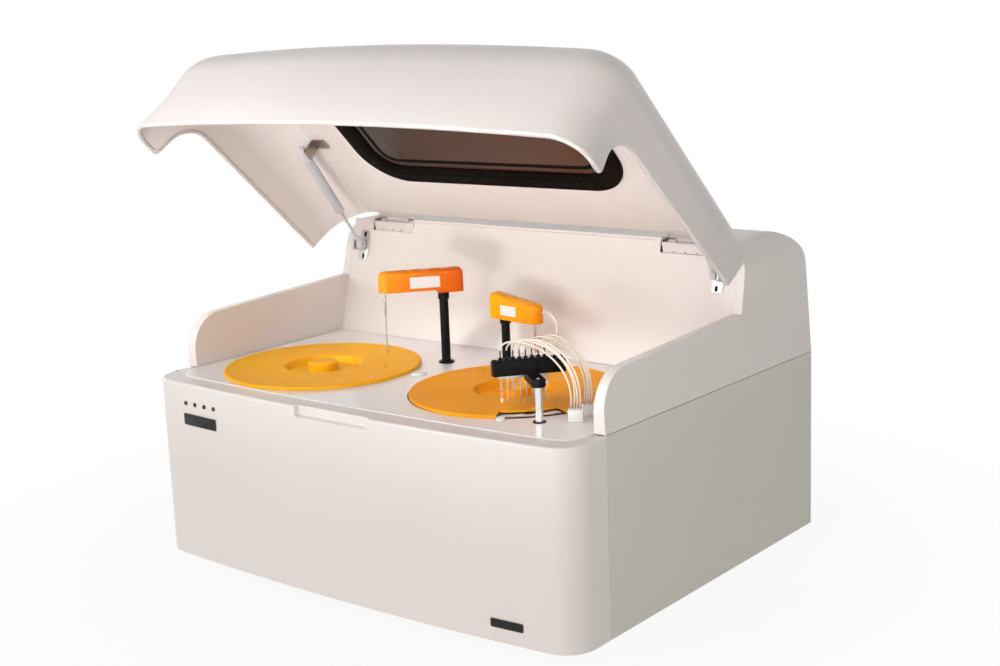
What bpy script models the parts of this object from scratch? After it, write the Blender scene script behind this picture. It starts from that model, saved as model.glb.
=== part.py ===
"""Benchtop chemistry analyzer with an open lid, two covered discs, two arms and a wash head.

Everything is drawn with x to the right, y backwards from the front plane and z up from the lower
edge of the casing. One empty then carries it all so that the origin lies on the bench, in the
middle of the footprint. Moving pieces are drawn in their neutral place (lid closed, struts
level) and hang on an empty that lies on their joint's axis.
"""
import math

import bmesh
import bpy
from mathutils import Matrix, Vector

for old in list(bpy.data.objects):
    bpy.data.objects.remove(old, do_unlink=True)

# General clearances
GAP = 0.0003
SEAM = 0.0008
OVERRUN = 0.010
HALF = 0.5

# Casing
BODY_WIDTH = 0.860
BODY_DEPTH = 0.700
DECK_TOP = 0.298
TOWER_TOP = 0.505
PANEL = 0.004
DECK_SHEET = 0.004
FRONT_DEPTH = 0.1023
FRONT_CORNER = 0.048
FRONT_BULGE = 0.0157
FRONT_EDGE_RADIUS = 0.010
DECK_FRONT = 0.038
DECK_CORNER = 0.045
DECK_BULGE = 0.010
DECK_TAIL = 0.020

# Wings and rear tower
WING_THICKNESS = 0.019
WING_FRONT = 0.1000
WING_CORNER = 0.058
WING_TOP = 0.3850
WING_SLOPE = math.radians(2.45)
WALL_BASE = 0.4526
WALL_LEAN = math.radians(14.4)
WALL_MARGIN = 0.021
TOWER_REAR_LEAN = math.radians(3.0)
TOWER_REAR_RADIUS = 0.063
TOWER_SIDE_DRAFT = math.radians(2.5)
TOWER_SIDE_RADIUS = 0.050

# Finger notch in the front cover's upper edge
NOTCH_HALF = 0.0745
NOTCH_FLOOR = 0.281
NOTCH_DEPTH = 0.009
NOTCH_BACKING = 0.009
NOTCH_BORDER = 0.0055

# Lid, drawn closed
LID_OVERHANG = 0.0085
LID_FRONT = 0.002
LID_BASE = 0.2995
LID_TOP = 0.506
LID_REAR = 0.498
LID_WALL = 0.006
LID_CORNER = 0.054
LID_SIDE_FLARE = 0.0115
LID_FRONT_FLARE = 0.004
LID_FLARE_HEIGHT = 0.070
LID_FLARE_POWER = 1.3
LID_TOOTH_REAR = 0.0906
LID_HEEL_RADIUS = 0.006
LID_SCALLOP_Y = 0.1530
LID_SCALLOP_RADIUS = 0.060
LID_SCALLOP_TOP = 0.3814
LID_TOOTH_LEAN = math.radians(8.4)
LID_BULGE = 0.0157
LID_REAR_WIDENING = 0.004
LID_REAR_DRAFT = math.radians(0.8)
LID_SIDE_DRAFT = math.radians(2.2)
LID_FRONT_DRAFT = math.radians(1.75)
LID_SIDE_RADIUS = 0.0745
LID_FRONT_RADIUS = 0.092
LID_WALL_GAP = 0.0035
LID_OPEN = math.radians(45.0)
HINGE_Y = 0.520
HINGE_Z = 0.4955

# Window in the lid
FRAME_INSET = 0.1655
FRAME_FRONT = 0.108
FRAME_REAR = 0.392
FRAME_CORNER = 0.080
FRAME_BAND = 0.037
FRAME_THICKNESS = 0.006
PANE_LEDGE = 0.012
PANE_EDGE_GAP = 0.0015
PANE_THICKNESS = 0.003

# Lid hinges
HINGE_INSET = 0.1255
HINGE_POCKET_WIDTH = 0.096
HINGE_NOTCH_FLOOR = 0.482
HINGE_NOTCH_REAR = 0.5305
HINGE_POCKET_WALL = 0.0025
HINGE_PLATE = 0.0025
HINGE_PLATE_REAR = 0.004
HINGE_PLATE_FRONT = 0.504
HINGE_SIDE_GAP = 0.006
KNUCKLE_RADIUS = 0.006
KNUCKLE_WIDTH = 0.015
KNUCKLE_GAP = 0.001
PIN_RADIUS = 0.003
PIN_CLEARANCE = 0.0004
LEAF_THICKNESS = 0.0045
LEAF_FRONT = 0.425
LEAF_CLEARANCE = 0.0012

# Gas struts
STRUT_INSET = 0.0615
STRUT_PIVOT_Y = 0.482
STRUT_PIVOT_Z = 0.456
STRUT_REACH = 0.2276
STRUT_OPEN = math.radians(54.03)
STRUT_TUBE_START = 0.0825
STRUT_TUBE_END = 0.2081
STRUT_TUBE_RADIUS = 0.008
STRUT_BORE_RADIUS = 0.0036
STRUT_BORE_DEPTH = 0.078
STRUT_ROD_RADIUS = 0.003
STRUT_ROD_END = 0.106
STRUT_CAP_RADIUS = 0.009
STRUT_CAP_LENGTH = 0.018
STRUT_EYE_RADIUS = 0.0085
STRUT_EYE_WIDTH = 0.010
STRUT_EYE_REACH = 0.020
STRUT_PIN_RADIUS = 0.0028
STRUT_STUD_RADIUS = 0.004
BRACKET_SHEET = 0.002
BRACKET_WIDTH = 0.030
BRACKET_HEIGHT = 0.056
BRACKET_EAR_HEIGHT = 0.020
BRACKET_EAR_GAP = 0.0115
UPPER_PIVOT_Y = 0.3006
UPPER_PIVOT_Z = 0.4787
UPPER_EAR_HALF = 0.011
UPPER_EAR_DROP = 0.010
UPPER_PLATE_WIDTH = 0.030
UPPER_PLATE_GAP = 0.0018

# Discs: covers, wells, rotors and motors
DISC_CENTRES = {"left": (-0.2175, 0.2085), "right": (0.1675, 0.2370)}
COVER_RADIUS = 0.164
COVER_THICKNESS = 0.0057
COVER_SHEET = 0.004
COVER_EDGE = 0.002
COVER_LIP_RADIUS = 0.1565
COVER_LIP_DEPTH = 0.007
COVER_LIP_WALL = 0.0035
BOWL_RADIUS = 0.065
BOWL_SLOPE = 0.007
BOWL_DEPTH = 0.012
KNOB_RADIUS = 0.025
KNOB_RISE = 0.004
KNOB_EDGE = 0.003
DECK_HOLE_RADIUS = 0.158
WELL_RADIUS = 0.1575
WELL_WALL = 0.0025
WELL_FLANGE_RADIUS = 0.168
WELL_FLANGE = 0.003
WELL_FLOOR = 0.200
WELL_HUB_HOLE = 0.022
MOTOR_RADIUS = 0.040
MOTOR_HEIGHT = 0.055
MOTOR_BOSS_RADIUS = 0.014
MOTOR_BOSS_RISE = 0.0045
ROTOR_RADIUS = 0.1505
ROTOR_HUB_RADIUS = 0.017
ROTOR_PLATE_TOP = 0.262
ROTOR_PLATE = 0.006
ROTOR_WALL = 0.003
ROTOR_WALL_TOP = {"left": 0.278, "right": 0.284}
ROTOR_CHANNEL_INNER = {"left": 0.098, "right": 0.127}
HOLE_RADIUS = 0.004
HOLE_SPOTS = {
    "left": ((0.1133, math.radians(19.5)), (0.1458, math.radians(7.6))),
    "right": ((0.1374, math.radians(149.5)),),
}
SECTOR_INNER = 0.135
SECTOR_START = math.radians(-62.0)
SECTOR_END = math.radians(-25.0)

# Arms: place, direction seen from above, heights
ARMS = {
    "front_arm": {
        "post": (-0.0566, 0.3378), "turn": math.radians(229.7), "reach": 0.098,
        "nose": 0.0097, "tail": 0.0328, "width": 0.029, "height": 0.0392, "fall": 0,
        "post_radius": 0.0075, "collar": 0.0122, "collar_top": 0.4185, "tip": 0.3180,
    },
    "rear_arm": {
        "post": (0.0283, 0.3933), "turn": math.radians(-8.5), "reach": 0.070,
        "nose": 0.0143, "tail": 0.026, "width": 0.028, "height": 0.0434, "fall": 0.0125,
        "post_radius": 0.0072, "collar": 0.0081, "collar_top": 0.3710, "tip": 0.3220,
    },
}
ARM_EDGE = 0.008
ARM_STEP_START = 0.0105
ARM_STEP = 0.005
COLLAR_RADIUS = 0.0093
SLEEVE_RING_RADIUS = 0.013
SLEEVE_RING = 0.003
SLEEVE_WALL = 0.0022
SLEEVE_DEPTH = 0.060
SLEEVE_RUNNING_GAP = 0.0005
POST_DEPTH = 0.090
NEEDLE_SHANK_RADIUS = 0.0022
NEEDLE_SHANK_LENGTH = 0.040
NEEDLE_RADIUS = 0.0011
PADDLE_WIDTH = 0.006
PADDLE_THICKNESS = 0.0014
PADDLE_HEIGHT = 0.012

# Wash head, with its first needle and its post seen from the right disc's centre
WASH_FIRST_OFFSET = (0.0744, -0.1259)
WASH_PITCH = 0.0093
WASH_COUNT = 8
WASH_TURN = math.radians(50.6)
WASH_BAR_WIDTH = 0.018
WASH_BAR_RISE = 0.060
WASH_BAR_HEIGHT = 0.024
WASH_BAR_FRONT = 0.013
WASH_BAR_REAR = 0.030
WASH_BAR_EDGE = 0.002
WASH_POST_OFFSET = (0.1411, -0.1256)
WASH_POST_RADIUS = 0.006
WASH_POST_DEPTH = 0.120
WASH_CLAMP_RADIUS = 0.0105
WASH_CLAMP_DROP = 0.008
WASH_CLAMP_HEIGHT = 0.0116
WASH_ARM_START = 0.0050
WASH_ARM_WIDTH = 0.019
WASH_NEEDLE_RADIUS = 0.0012
WASH_NEEDLE_LENGTH = 0.042
WASH_STRIP_WIDTH = 0.006
WASH_STRIP_HEIGHT = 0.0045
WASH_STRIP_END = 0.004
WASH_BUSH_RADIUS = 0.010
WASH_BUSH_RIM = 0.002
WASH_BUSH_RISE = 0.0012
WASH_BUSH_DEPTH = 0.030

# Drain blocks: distance of the centre from the wing, place in depth, width, height
DRAINS = {
    "front": {"inset": 0.0595, "y": 0.1405, "width": 0.022, "height": 0.018},
    "rear": {"inset": 0.0650, "y": 0.1780, "width": 0.018, "height": 0.015},
}
DRAIN_TURN = math.radians(30.4)
DRAIN_DEPTH = 0.013
DRAIN_PINS = 4
DRAIN_PIN_RADIUS = 0.0011
DRAIN_PIN_HEIGHT = 0.009
HOSE_RADIUS = 0.0035
HOSE_BEVEL_STEPS = 2
HOSE_SAMPLES = 14
HOSE_RISE = 0.030

# Wash cups
CUP_SPOT = (-0.0375, 0.246)
CUP_RADIUS = 0.0125
CUP_BORE = 0.0085
CUP_RISE = 0.004
CUP_DEPTH = 0.030
CUP_TUBE_WALL = 0.0015
SMALL_CUP_OFFSET = (0.0880, -0.1477)
SMALL_CUP_RADIUS = 0.0065
SMALL_CUP_BORE = 0.004
SMALL_CUP_RISE = 0.005
SMALL_CUP_FLOOR = 0.0015

# Front plates and indicators
NAME_PLATE = {"inset": 0.1250, "z": 0.2375, "width": 0.082, "height": 0.019}
LOWER_PLATE = {"inset": 0.1135, "z": 0.0285, "width": 0.055, "height": 0.013}
PLATE_THICKNESS = 0.0012
PLATE_GAP = 0.0005
LED_INSET = 0.090
LED_PITCH = 0.024
LED_COUNT = 4
LED_HEIGHT = 0.264
LED_RADIUS = 0.0035
LED_HOLE_RADIUS = 0.0040
LED_PROUD = 0.0010
LED_BOARD_BORDER = 0.010
LED_BOARD_GAP = 0.0008
LED_BOARD_SHEET = 0.0016
LED_BOARD_HEIGHT = 0.020

# Chassis
PAN_SHEET = 0.002
PAN_HEIGHT = 0.030
POST_SIDE = 0.020
POST_INSET = 0.035
POST_ROWS = (0.118, 0.430)
FOOT_HEIGHT = 0.008
FOOT_RADIUS = 0.020
FOOT_INSET = 0.080
FOOT_FRONT = 0.090
FOOT_REAR_INSET = 0.070

# Inner units, with their centres measured from the side and from the rear
SUPPLY_SIZE = (0.180, 0.110, 0.090)
SUPPLY_INSETS = (0.160, 0.140)
PUMP_SIZE = (0.070, 0.080, 0.150)
PUMP_INSETS = (0.180, 0.140)
SYRINGE_RADIUS = 0.010
SYRINGE_LENGTH = 0.070

# Mains inlet with the rocker switch above it
INLET_INSET = 0.100
INLET_Z = 0.075
INLET_WIDTH = 0.046
INLET_HEIGHT = 0.062
INLET_DEPTH = 0.032
INLET_WALL = 0.003
INLET_FACE = 0.0005
SOCKET_WIDTH = 0.027
SOCKET_HEIGHT = 0.020
SOCKET_DROP = 0.0145
SOCKET_DEPTH = 0.020
SOCKET_PIN = 0.003
SOCKET_PIN_HEIGHT = 0.006
SOCKET_PIN_SPACING = 0.0070
SOCKET_PIN_LENGTH = 0.014
ROCKER_WIDTH = 0.024
ROCKER_HEIGHT = 0.019
ROCKER_RISE = 0.0150
ROCKER_DEPTH = 0.007
ROCKER_CREST = 0.0022
ROCKER_CLEARANCE = 0.0008
ROCKER_WELL_DEPTH = 0.014
ROCKER_SET_BACK = 0.0045
ROCKER_TILT = math.radians(7.0)

# Facet counts
DISC_SIDES = 36
ROTOR_SIDES = 24
POST_SIDES = 16
PIN_SIDES = 8
ARC_STEPS = 5
FRONT_STEPS = 10
RIM_STEPS = 3

FRONT_TOP = DECK_TOP - SEAM
DECK_UNDER = DECK_TOP - DECK_SHEET
SHELL_BASE = DECK_TOP + GAP
HALF_WIDTH = HALF * BODY_WIDTH
WING_INNER = HALF_WIDTH - WING_THICKNESS
INNER_TOP = LID_TOP - LID_WALL
LID_HALF = HALF_WIDTH + LID_OVERHANG
HINGE_X = LID_HALF - HINGE_INSET
STRUT_X = LID_HALF - STRUT_INSET
FRAME_HALF = LID_HALF - FRAME_INSET
POST_X = HALF_WIDTH - POST_INSET
FOOT_X = HALF_WIDTH - FOOT_INSET
FOOT_ROWS = (FOOT_FRONT, BODY_DEPTH - FOOT_REAR_INSET)
SUPPLY_SPOT = (SUPPLY_INSETS[0] - HALF_WIDTH, BODY_DEPTH - SUPPLY_INSETS[1])
PUMP_SPOT = (HALF_WIDTH - PUMP_INSETS[0], BODY_DEPTH - PUMP_INSETS[1])
INLET_X = INLET_INSET - HALF_WIDTH
LED_FIRST = LED_INSET - HALF_WIDTH


def beside_right_disc(offset):
    """Place on the deck seen from the centre of the right disc."""
    centre = DISC_CENTRES["right"]
    return centre[0] + offset[0], centre[1] + offset[1]


WASH_FIRST = beside_right_disc(WASH_FIRST_OFFSET)
WASH_POST = beside_right_disc(WASH_POST_OFFSET)
SMALL_CUP_SPOT = beside_right_disc(SMALL_CUP_OFFSET)
WASH_BAR_BASE = DECK_TOP + WASH_BAR_RISE
WASH_BAR_TOP = WASH_BAR_BASE + WASH_BAR_HEIGHT
WASH_CLAMP_BASE = WASH_BAR_BASE - WASH_CLAMP_DROP
WASH_CLAMP_TOP = WASH_CLAMP_BASE + WASH_CLAMP_HEIGHT
WASH_NEEDLE_TIP = WASH_BAR_BASE - WASH_NEEDLE_LENGTH


def material(name, colour, roughness, metallic=0.0):
    """Make a Principled material."""
    made = bpy.data.materials.new(name)
    made.use_nodes = True
    shader = made.node_tree.nodes["Principled BSDF"]
    shader.inputs["Base Color"].default_value = (*colour, 1.0)
    shader.inputs["Roughness"].default_value = roughness
    shader.inputs["Metallic"].default_value = metallic
    return made


IVORY = material("ivory_moulding", (0.80, 0.76, 0.71), 0.35)
LID_WHITE = material("lid_moulding", (0.83, 0.79, 0.75), 0.33)
DECK_WHITE = material("deck_moulding", (0.82, 0.78, 0.74), 0.38)
ORANGE = material("orange_plastic", (0.90, 0.34, 0.03), 0.30)
YELLOW = material("amber_plastic", (0.92, 0.45, 0.04), 0.35)
BLACK = material("black_plastic", (0.015, 0.015, 0.016), 0.40)
RUBBER = material("black_rubber", (0.02, 0.02, 0.02), 0.75)
SMOKED = material("smoked_pane", (0.10, 0.06, 0.05), 0.12)
STEEL = material("brushed_steel", (0.60, 0.60, 0.61), 0.30, 1.0)
CHROME = material("chrome", (0.75, 0.75, 0.76), 0.10, 1.0)
SHEET = material("plated_sheet", (0.55, 0.56, 0.57), 0.45, 1.0)
GREY = material("grey_plastic", (0.45, 0.48, 0.52), 0.40)
SATIN_GREY = material("strut_paint", (0.50, 0.54, 0.60), 0.30)
WHITE = material("white_plastic", (0.85, 0.85, 0.84), 0.40)
HOSE = material("silicone_hose", (0.80, 0.72, 0.60), 0.45)
BOARD = material("circuit_board", (0.02, 0.10, 0.05), 0.50)


def finish(bm):
    """Point the faces outwards and turn the bmesh into a mesh."""
    bmesh.ops.recalc_face_normals(bm, faces=bm.faces)
    mesh = bpy.data.meshes.new("shape")
    bm.to_mesh(mesh)
    bm.free()
    return mesh


def piece(name, mesh, look):
    """Put a mesh into the scene as one named sub-part."""
    made = bpy.data.objects.new(name, mesh)
    mesh.materials.append(look)
    bpy.context.scene.collection.objects.link(made)
    mesh.shade_smooth()
    mesh.set_sharp_from_angle(angle=math.radians(30.0))
    return made


def bridge(bm, first, second):
    """Close the strip between two rings of vertices; a ring may be a single pole."""
    count = max(len(first), len(second))
    for step in range(count):
        after = (step + 1) % count
        corners = [first[step % len(first)], first[after % len(first)]]
        corners += [second[after % len(second)], second[step % len(second)]]
        corners = list(dict.fromkeys(corners))
        if len(corners) > 2:
            bm.faces.new(corners)


def loft(rings):
    """Closed solid through rings of points, capped at both ends."""
    bm = bmesh.new()
    made = [[bm.verts.new(point) for point in ring] for ring in rings]
    for first, second in zip(made, made[1:]):
        bridge(bm, first, second)
    bm.faces.new(made[0])
    bm.faces.new(made[-1])
    return finish(bm)


def turned(profile, sides):
    """Closed solid turned about the vertical axis from a closed (radius, height) outline."""
    bm = bmesh.new()
    rings = []
    for radius, height in profile:
        if radius == 0:
            rings.append([bm.verts.new((0, 0, height))])
            continue
        turns = [math.tau * step / sides for step in range(sides)]
        rings.append([bm.verts.new((radius * math.cos(t), radius * math.sin(t), height)) for t in turns])
    for first, second in zip(rings, rings[1:] + rings[:1]):
        if len(first) > 1 or len(second) > 1:
            bridge(bm, first, second)
    return finish(bm)


def prism(outline, start, end, axis="z"):
    """Extrude a flat outline along an axis: (x, y) along z, (y, z) along x, (x, z) along y."""
    place = {
        "z": lambda u, v, w: (u, v, w),
        "x": lambda u, v, w: (w, u, v),
        "y": lambda u, v, w: (u, w, v),
    }[axis]
    return loft([[place(u, v, w) for u, v in outline] for w in (start, end)])


def box(low, high):
    """Box between two corners."""
    outline = [(low[0], low[1]), (high[0], low[1]), (high[0], high[1]), (low[0], high[1])]
    return prism(outline, low[2], high[2])


def circle(radius, centre, sides):
    """Points of a circle in a flat outline."""
    turns = [math.tau * step / sides for step in range(sides)]
    return [(centre[0] + radius * math.cos(t), centre[1] + radius * math.sin(t)) for t in turns]


def arc(centre, radius, start, end, steps):
    """Points along an arc, both ends included."""
    turns = [start + (end - start) * step / steps for step in range(steps + 1)]
    return [(centre[0] + radius * math.cos(t), centre[1] + radius * math.sin(t)) for t in turns]


def rounded(low, high, radius, steps=ARC_STEPS):
    """Rectangle outline with round corners."""
    quarter = math.pi * HALF
    centres = [
        (high[0] - radius, low[1] + radius), (high[0] - radius, high[1] - radius),
        (low[0] + radius, high[1] - radius), (low[0] + radius, low[1] + radius),
    ]
    points = []
    for index, centre in enumerate(centres):
        points += arc(centre, radius, (index - 1) * quarter, index * quarter, steps)
    return points


def combine(target, tool_mesh, operation):
    """Cut, join or intersect a mesh with another one, and return the result."""
    base = bpy.data.objects.new("base", target)
    tool = bpy.data.objects.new("tool", tool_mesh)
    for thing in (base, tool):
        bpy.context.scene.collection.objects.link(thing)
    change = base.modifiers.new("change", "BOOLEAN")
    change.operation = operation
    change.solver = "EXACT"
    change.object = tool
    result = bpy.data.meshes.new_from_object(base.evaluated_get(bpy.context.evaluated_depsgraph_get()))
    for thing in (base, tool):
        bpy.data.objects.remove(thing, do_unlink=True)
    return result


def cut(target, *tools):
    """Remove each tool's volume."""
    for tool in tools:
        target = combine(target, tool, "DIFFERENCE")
    return target


def join(target, *tools):
    """Add each tool's volume."""
    for tool in tools:
        target = combine(target, tool, "UNION")
    return target


def moved(mesh, place=(0, 0, 0), turn=0.0, axis="Z"):
    """Turn a mesh about an axis through the origin and then shift it."""
    mesh.transform(Matrix.Translation(Vector(place)) @ Matrix.Rotation(turn, 4, axis))
    return mesh


def mirrored(mesh, side):
    """The mesh itself for the right side, its mirror image for the left."""
    if side == "right":
        return mesh
    mesh.transform(Matrix.Diagonal((-1, 1, 1, 1)))
    mesh.flip_normals()
    return mesh


def axle(name, place):
    """Empty on a joint's axis."""
    made = bpy.data.objects.new(name, None)
    made.location = place
    bpy.context.scene.collection.objects.link(made)
    return made


def carry(holder, *pieces):
    """Hang pieces, drawn in their neutral place, on an empty or on each other."""
    for thing in pieces:
        thing.parent = holder
        thing.matrix_parent_inverse = Matrix.Translation(holder.location).inverted()


def front_plan(half, front, rear, corner, bulge, inset=0.0):
    """Plan of a bulged front with round corners, from the right rear round to the left rear."""
    chord = half - corner
    sweep = (chord ** 2 + bulge ** 2) / (2 * bulge)
    middle = front + sweep
    corner_y = middle - math.sqrt((sweep - corner) ** 2 - chord ** 2)
    meet = math.atan2(corner_y - middle, chord)
    right = [(half - inset, rear)]
    right += arc((chord, corner_y), corner - inset, 0, meet, ARC_STEPS)
    across = arc((0, middle), sweep - inset, meet, -math.pi - meet, FRONT_STEPS)[1:-1]
    left = [(-x, y) for x, y in reversed(right)]
    return right + across + left


def front_cover_plan(rear, inset=0.0):
    """Plan of the front cover."""
    return front_plan(HALF_WIDTH, 0, rear, FRONT_CORNER, FRONT_BULGE, inset)


def deck_plan(rear, inset=0.0):
    """Plan of the deck plate."""
    return front_plan(WING_INNER - GAP, DECK_FRONT, rear, DECK_CORNER, DECK_BULGE, inset)


def front_surface(x):
    """Place on the bulged front at x, and how far the surface turns about the vertical there."""
    chord = HALF_WIDTH - FRONT_CORNER
    sweep = (chord ** 2 + FRONT_BULGE ** 2) / (2 * FRONT_BULGE)
    return sweep - math.sqrt(sweep ** 2 - x ** 2), math.asin(x / sweep)


def wall_y(z):
    """Front face of the leaning rear wall at height z."""
    return WALL_BASE + (z - DECK_TOP) * math.tan(WALL_LEAN)


def leaning_corner(base, lean, radius, inset=0.0):
    """Round upper corner over a leaning face: points from the flat top down to the base."""
    centre_z = TOWER_TOP - radius
    centre = base - (radius - math.sin(lean) * (SHELL_BASE - centre_z)) / math.cos(lean)
    points = arc((centre, centre_z), radius - inset, math.pi * HALF, lean, ARC_STEPS)
    end_y, end_z = points[-1]
    points.append((end_y + (end_z - SHELL_BASE) * math.tan(lean), SHELL_BASE))
    return points


def wing_edge():
    """Front and top edge of a wing in side view, up to the corner's end."""
    centre = (WING_FRONT + WING_CORNER, WING_TOP - WING_CORNER)
    return arc(centre, WING_CORNER, math.pi, math.pi * HALF + WING_SLOPE, ARC_STEPS)


def lid_edge():
    """Lower edge of the lid's side in side view: heel of the front tooth, then the scallop behind it."""
    heel_centre = (LID_TOOTH_REAR - LID_HEEL_RADIUS, LID_BASE + LID_HEEL_RADIUS)
    heel = arc(heel_centre, LID_HEEL_RADIUS, -math.pi * HALF, 0, ARC_STEPS)
    centre = (LID_SCALLOP_Y, LID_SCALLOP_TOP - LID_SCALLOP_RADIUS)
    end = math.pi * HALF + WING_SLOPE
    return heel + arc(centre, LID_SCALLOP_RADIUS, math.pi - LID_TOOTH_LEAN, end, 2 * ARC_STEPS)


def front_cover():
    """Bulged front with round corners, a rim round the deck and a finger notch."""
    heights = [(0, 0)]
    steps = [math.pi * HALF * step / ARC_STEPS for step in range(ARC_STEPS + 1)]
    for turn in steps:
        drop = FRONT_EDGE_RADIUS * (1 - math.cos(turn))
        heights.append((FRONT_TOP - FRONT_EDGE_RADIUS * (1 - math.sin(turn)), drop))
    rings = [[(x, y, z) for x, y in front_cover_plan(FRONT_DEPTH, inset)] for z, inset in heights]
    shell = loft(rings)
    hollow = prism(front_cover_plan(FRONT_DEPTH + OVERRUN, PANEL), -OVERRUN, DECK_UNDER)
    opening = prism(deck_plan(FRONT_DEPTH + OVERRUN, -SEAM), DECK_UNDER - OVERRUN, DECK_TOP + OVERRUN)
    backing_end = NOTCH_DEPTH + NOTCH_BACKING
    backing = box(
        (-NOTCH_HALF - NOTCH_BORDER, HALF * PANEL, NOTCH_FLOOR - NOTCH_BACKING),
        (NOTCH_HALF + NOTCH_BORDER, backing_end, DECK_UNDER + HALF * PANEL),
    )
    notch = box((-NOTCH_HALF, -OVERRUN, NOTCH_FLOOR), (NOTCH_HALF, NOTCH_DEPTH, DECK_TOP + OVERRUN))
    shell = cut(shell, hollow, opening)
    shell = cut(join(shell, backing), notch)
    for index in range(LED_COUNT):
        x = LED_FIRST + index * LED_PITCH
        y, turn = front_surface(x)
        hole = prism(circle(LED_HOLE_RADIUS, (0, 0), PIN_SIDES), -OVERRUN, OVERRUN, "y")
        shell = cut(shell, moved(hole, (x, y, LED_HEIGHT), turn))
    return piece("front_cover", shell, IVORY)


def side_panel(side):
    """Flat side of the casing below the deck."""
    low = (HALF_WIDTH - PANEL, FRONT_DEPTH + SEAM, 0)
    high = (HALF_WIDTH, BODY_DEPTH, FRONT_TOP)
    return piece("side_panel_" + side, mirrored(box(low, high), side), IVORY)


def rear_panel():
    """Rear of the casing between the side panels, with a cut-out for the mains inlet."""
    half = HALF_WIDTH - PANEL - GAP
    shell = box((-half, BODY_DEPTH - PANEL, 0), (half, BODY_DEPTH, FRONT_TOP))
    reach_x = HALF * INLET_WIDTH + GAP
    reach_z = HALF * INLET_HEIGHT + GAP
    hole = box(
        (INLET_X - reach_x, BODY_DEPTH - PANEL - OVERRUN, INLET_Z - reach_z),
        (INLET_X + reach_x, BODY_DEPTH + OVERRUN, INLET_Z + reach_z),
    )
    return piece("rear_panel", cut(shell, hole), IVORY)


def hinge_notch(side):
    """Volume of the pocket in which a lid hinge sits, open to the front and the top."""
    low = (HINGE_X - HALF * HINGE_POCKET_WIDTH, WALL_BASE, HINGE_NOTCH_FLOOR)
    high = (HINGE_X + HALF * HINGE_POCKET_WIDTH, HINGE_NOTCH_REAR, TOWER_TOP + OVERRUN)
    return mirrored(box(low, high), side)


def upper_shell():
    """Both wings and the rear tower in one moulding, open to the front and below."""
    rear = leaning_corner(BODY_DEPTH, TOWER_REAR_LEAN, TOWER_REAR_RADIUS)
    wing = [(WING_FRONT, SHELL_BASE)] + wing_edge()
    run = wall_y(WING_TOP) - wing[-1][0]
    joint_z = wing[-1][1] + run * math.tan(WING_SLOPE)
    side_view = wing + [(wall_y(joint_z), joint_z), (wall_y(TOWER_TOP), TOWER_TOP)] + rear
    corner = leaning_corner(HALF_WIDTH, TOWER_SIDE_DRAFT, TOWER_SIDE_RADIUS)
    front_view = corner + [(-x, z) for x, z in reversed(corner)]
    shell = prism(side_view, -HALF_WIDTH - OVERRUN, HALF_WIDTH + OVERRUN, "x")
    outer = prism(front_view, WING_FRONT - OVERRUN, BODY_DEPTH + OVERRUN, "y")
    shell = combine(shell, outer, "INTERSECT")

    low_z = SHELL_BASE - OVERRUN
    high_z = TOWER_TOP + OVERRUN
    bay_view = [
        (WING_FRONT - OVERRUN, low_z), (wall_y(low_z), low_z),
        (wall_y(high_z), high_z), (WING_FRONT - OVERRUN, high_z),
    ]
    bay = prism(bay_view, -WING_INNER, WING_INNER, "x")

    inner_rear = leaning_corner(BODY_DEPTH, TOWER_REAR_LEAN, TOWER_REAR_RADIUS, PANEL)
    inner_rear.append((inner_rear[-1][0], low_z))
    inner_top = TOWER_TOP - PANEL
    inner_view = [(wall_y(low_z) + PANEL, low_z), (wall_y(inner_top) + PANEL, inner_top)] + inner_rear
    inner_corner = leaning_corner(HALF_WIDTH, TOWER_SIDE_DRAFT, TOWER_SIDE_RADIUS, PANEL)
    inner_corner.append((inner_corner[-1][0], low_z))
    inner_front = inner_corner + [(-x, z) for x, z in reversed(inner_corner)]
    hollow = prism(inner_view, -HALF_WIDTH, HALF_WIDTH, "x")
    hollow = combine(hollow, prism(inner_front, WALL_BASE, BODY_DEPTH, "y"), "INTERSECT")

    half = HALF_WIDTH - WALL_MARGIN
    slot_view = [
        (wall_y(low_z) - OVERRUN, low_z), (wall_y(low_z) + OVERRUN, low_z),
        (wall_y(inner_top) + OVERRUN, inner_top), (wall_y(inner_top) - OVERRUN, inner_top),
    ]
    slot = prism(slot_view, -half, half, "x")
    shell = cut(shell, bay, hollow, slot, hinge_notch("right"), hinge_notch("left"))
    return piece("upper_shell", shell, IVORY)


def rear_wall():
    """Leaning wall at the back of the working area, with a pocket for each lid hinge."""
    low_z = SHELL_BASE
    high_z = TOWER_TOP - PANEL - GAP
    view = [
        (wall_y(low_z), low_z), (wall_y(low_z) + PANEL, low_z),
        (wall_y(high_z) + PANEL, high_z), (wall_y(high_z), high_z),
    ]
    half = HALF_WIDTH - WALL_MARGIN - GAP
    shell = prism(view, -half, half, "x")
    floor = HINGE_NOTCH_FLOOR - HINGE_POCKET_WALL
    pocket_half = HALF * HINGE_POCKET_WIDTH + HINGE_POCKET_WALL
    for side in ("right", "left"):
        pocket = box(
            (HINGE_X - pocket_half, wall_y(floor) + HALF * PANEL, floor),
            (HINGE_X + pocket_half, HINGE_NOTCH_REAR + HINGE_POCKET_WALL, high_z - HINGE_POCKET_WALL),
        )
        shell = cut(join(shell, mirrored(pocket, side)), hinge_notch(side))
    return piece("rear_wall", shell, IVORY)


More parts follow.
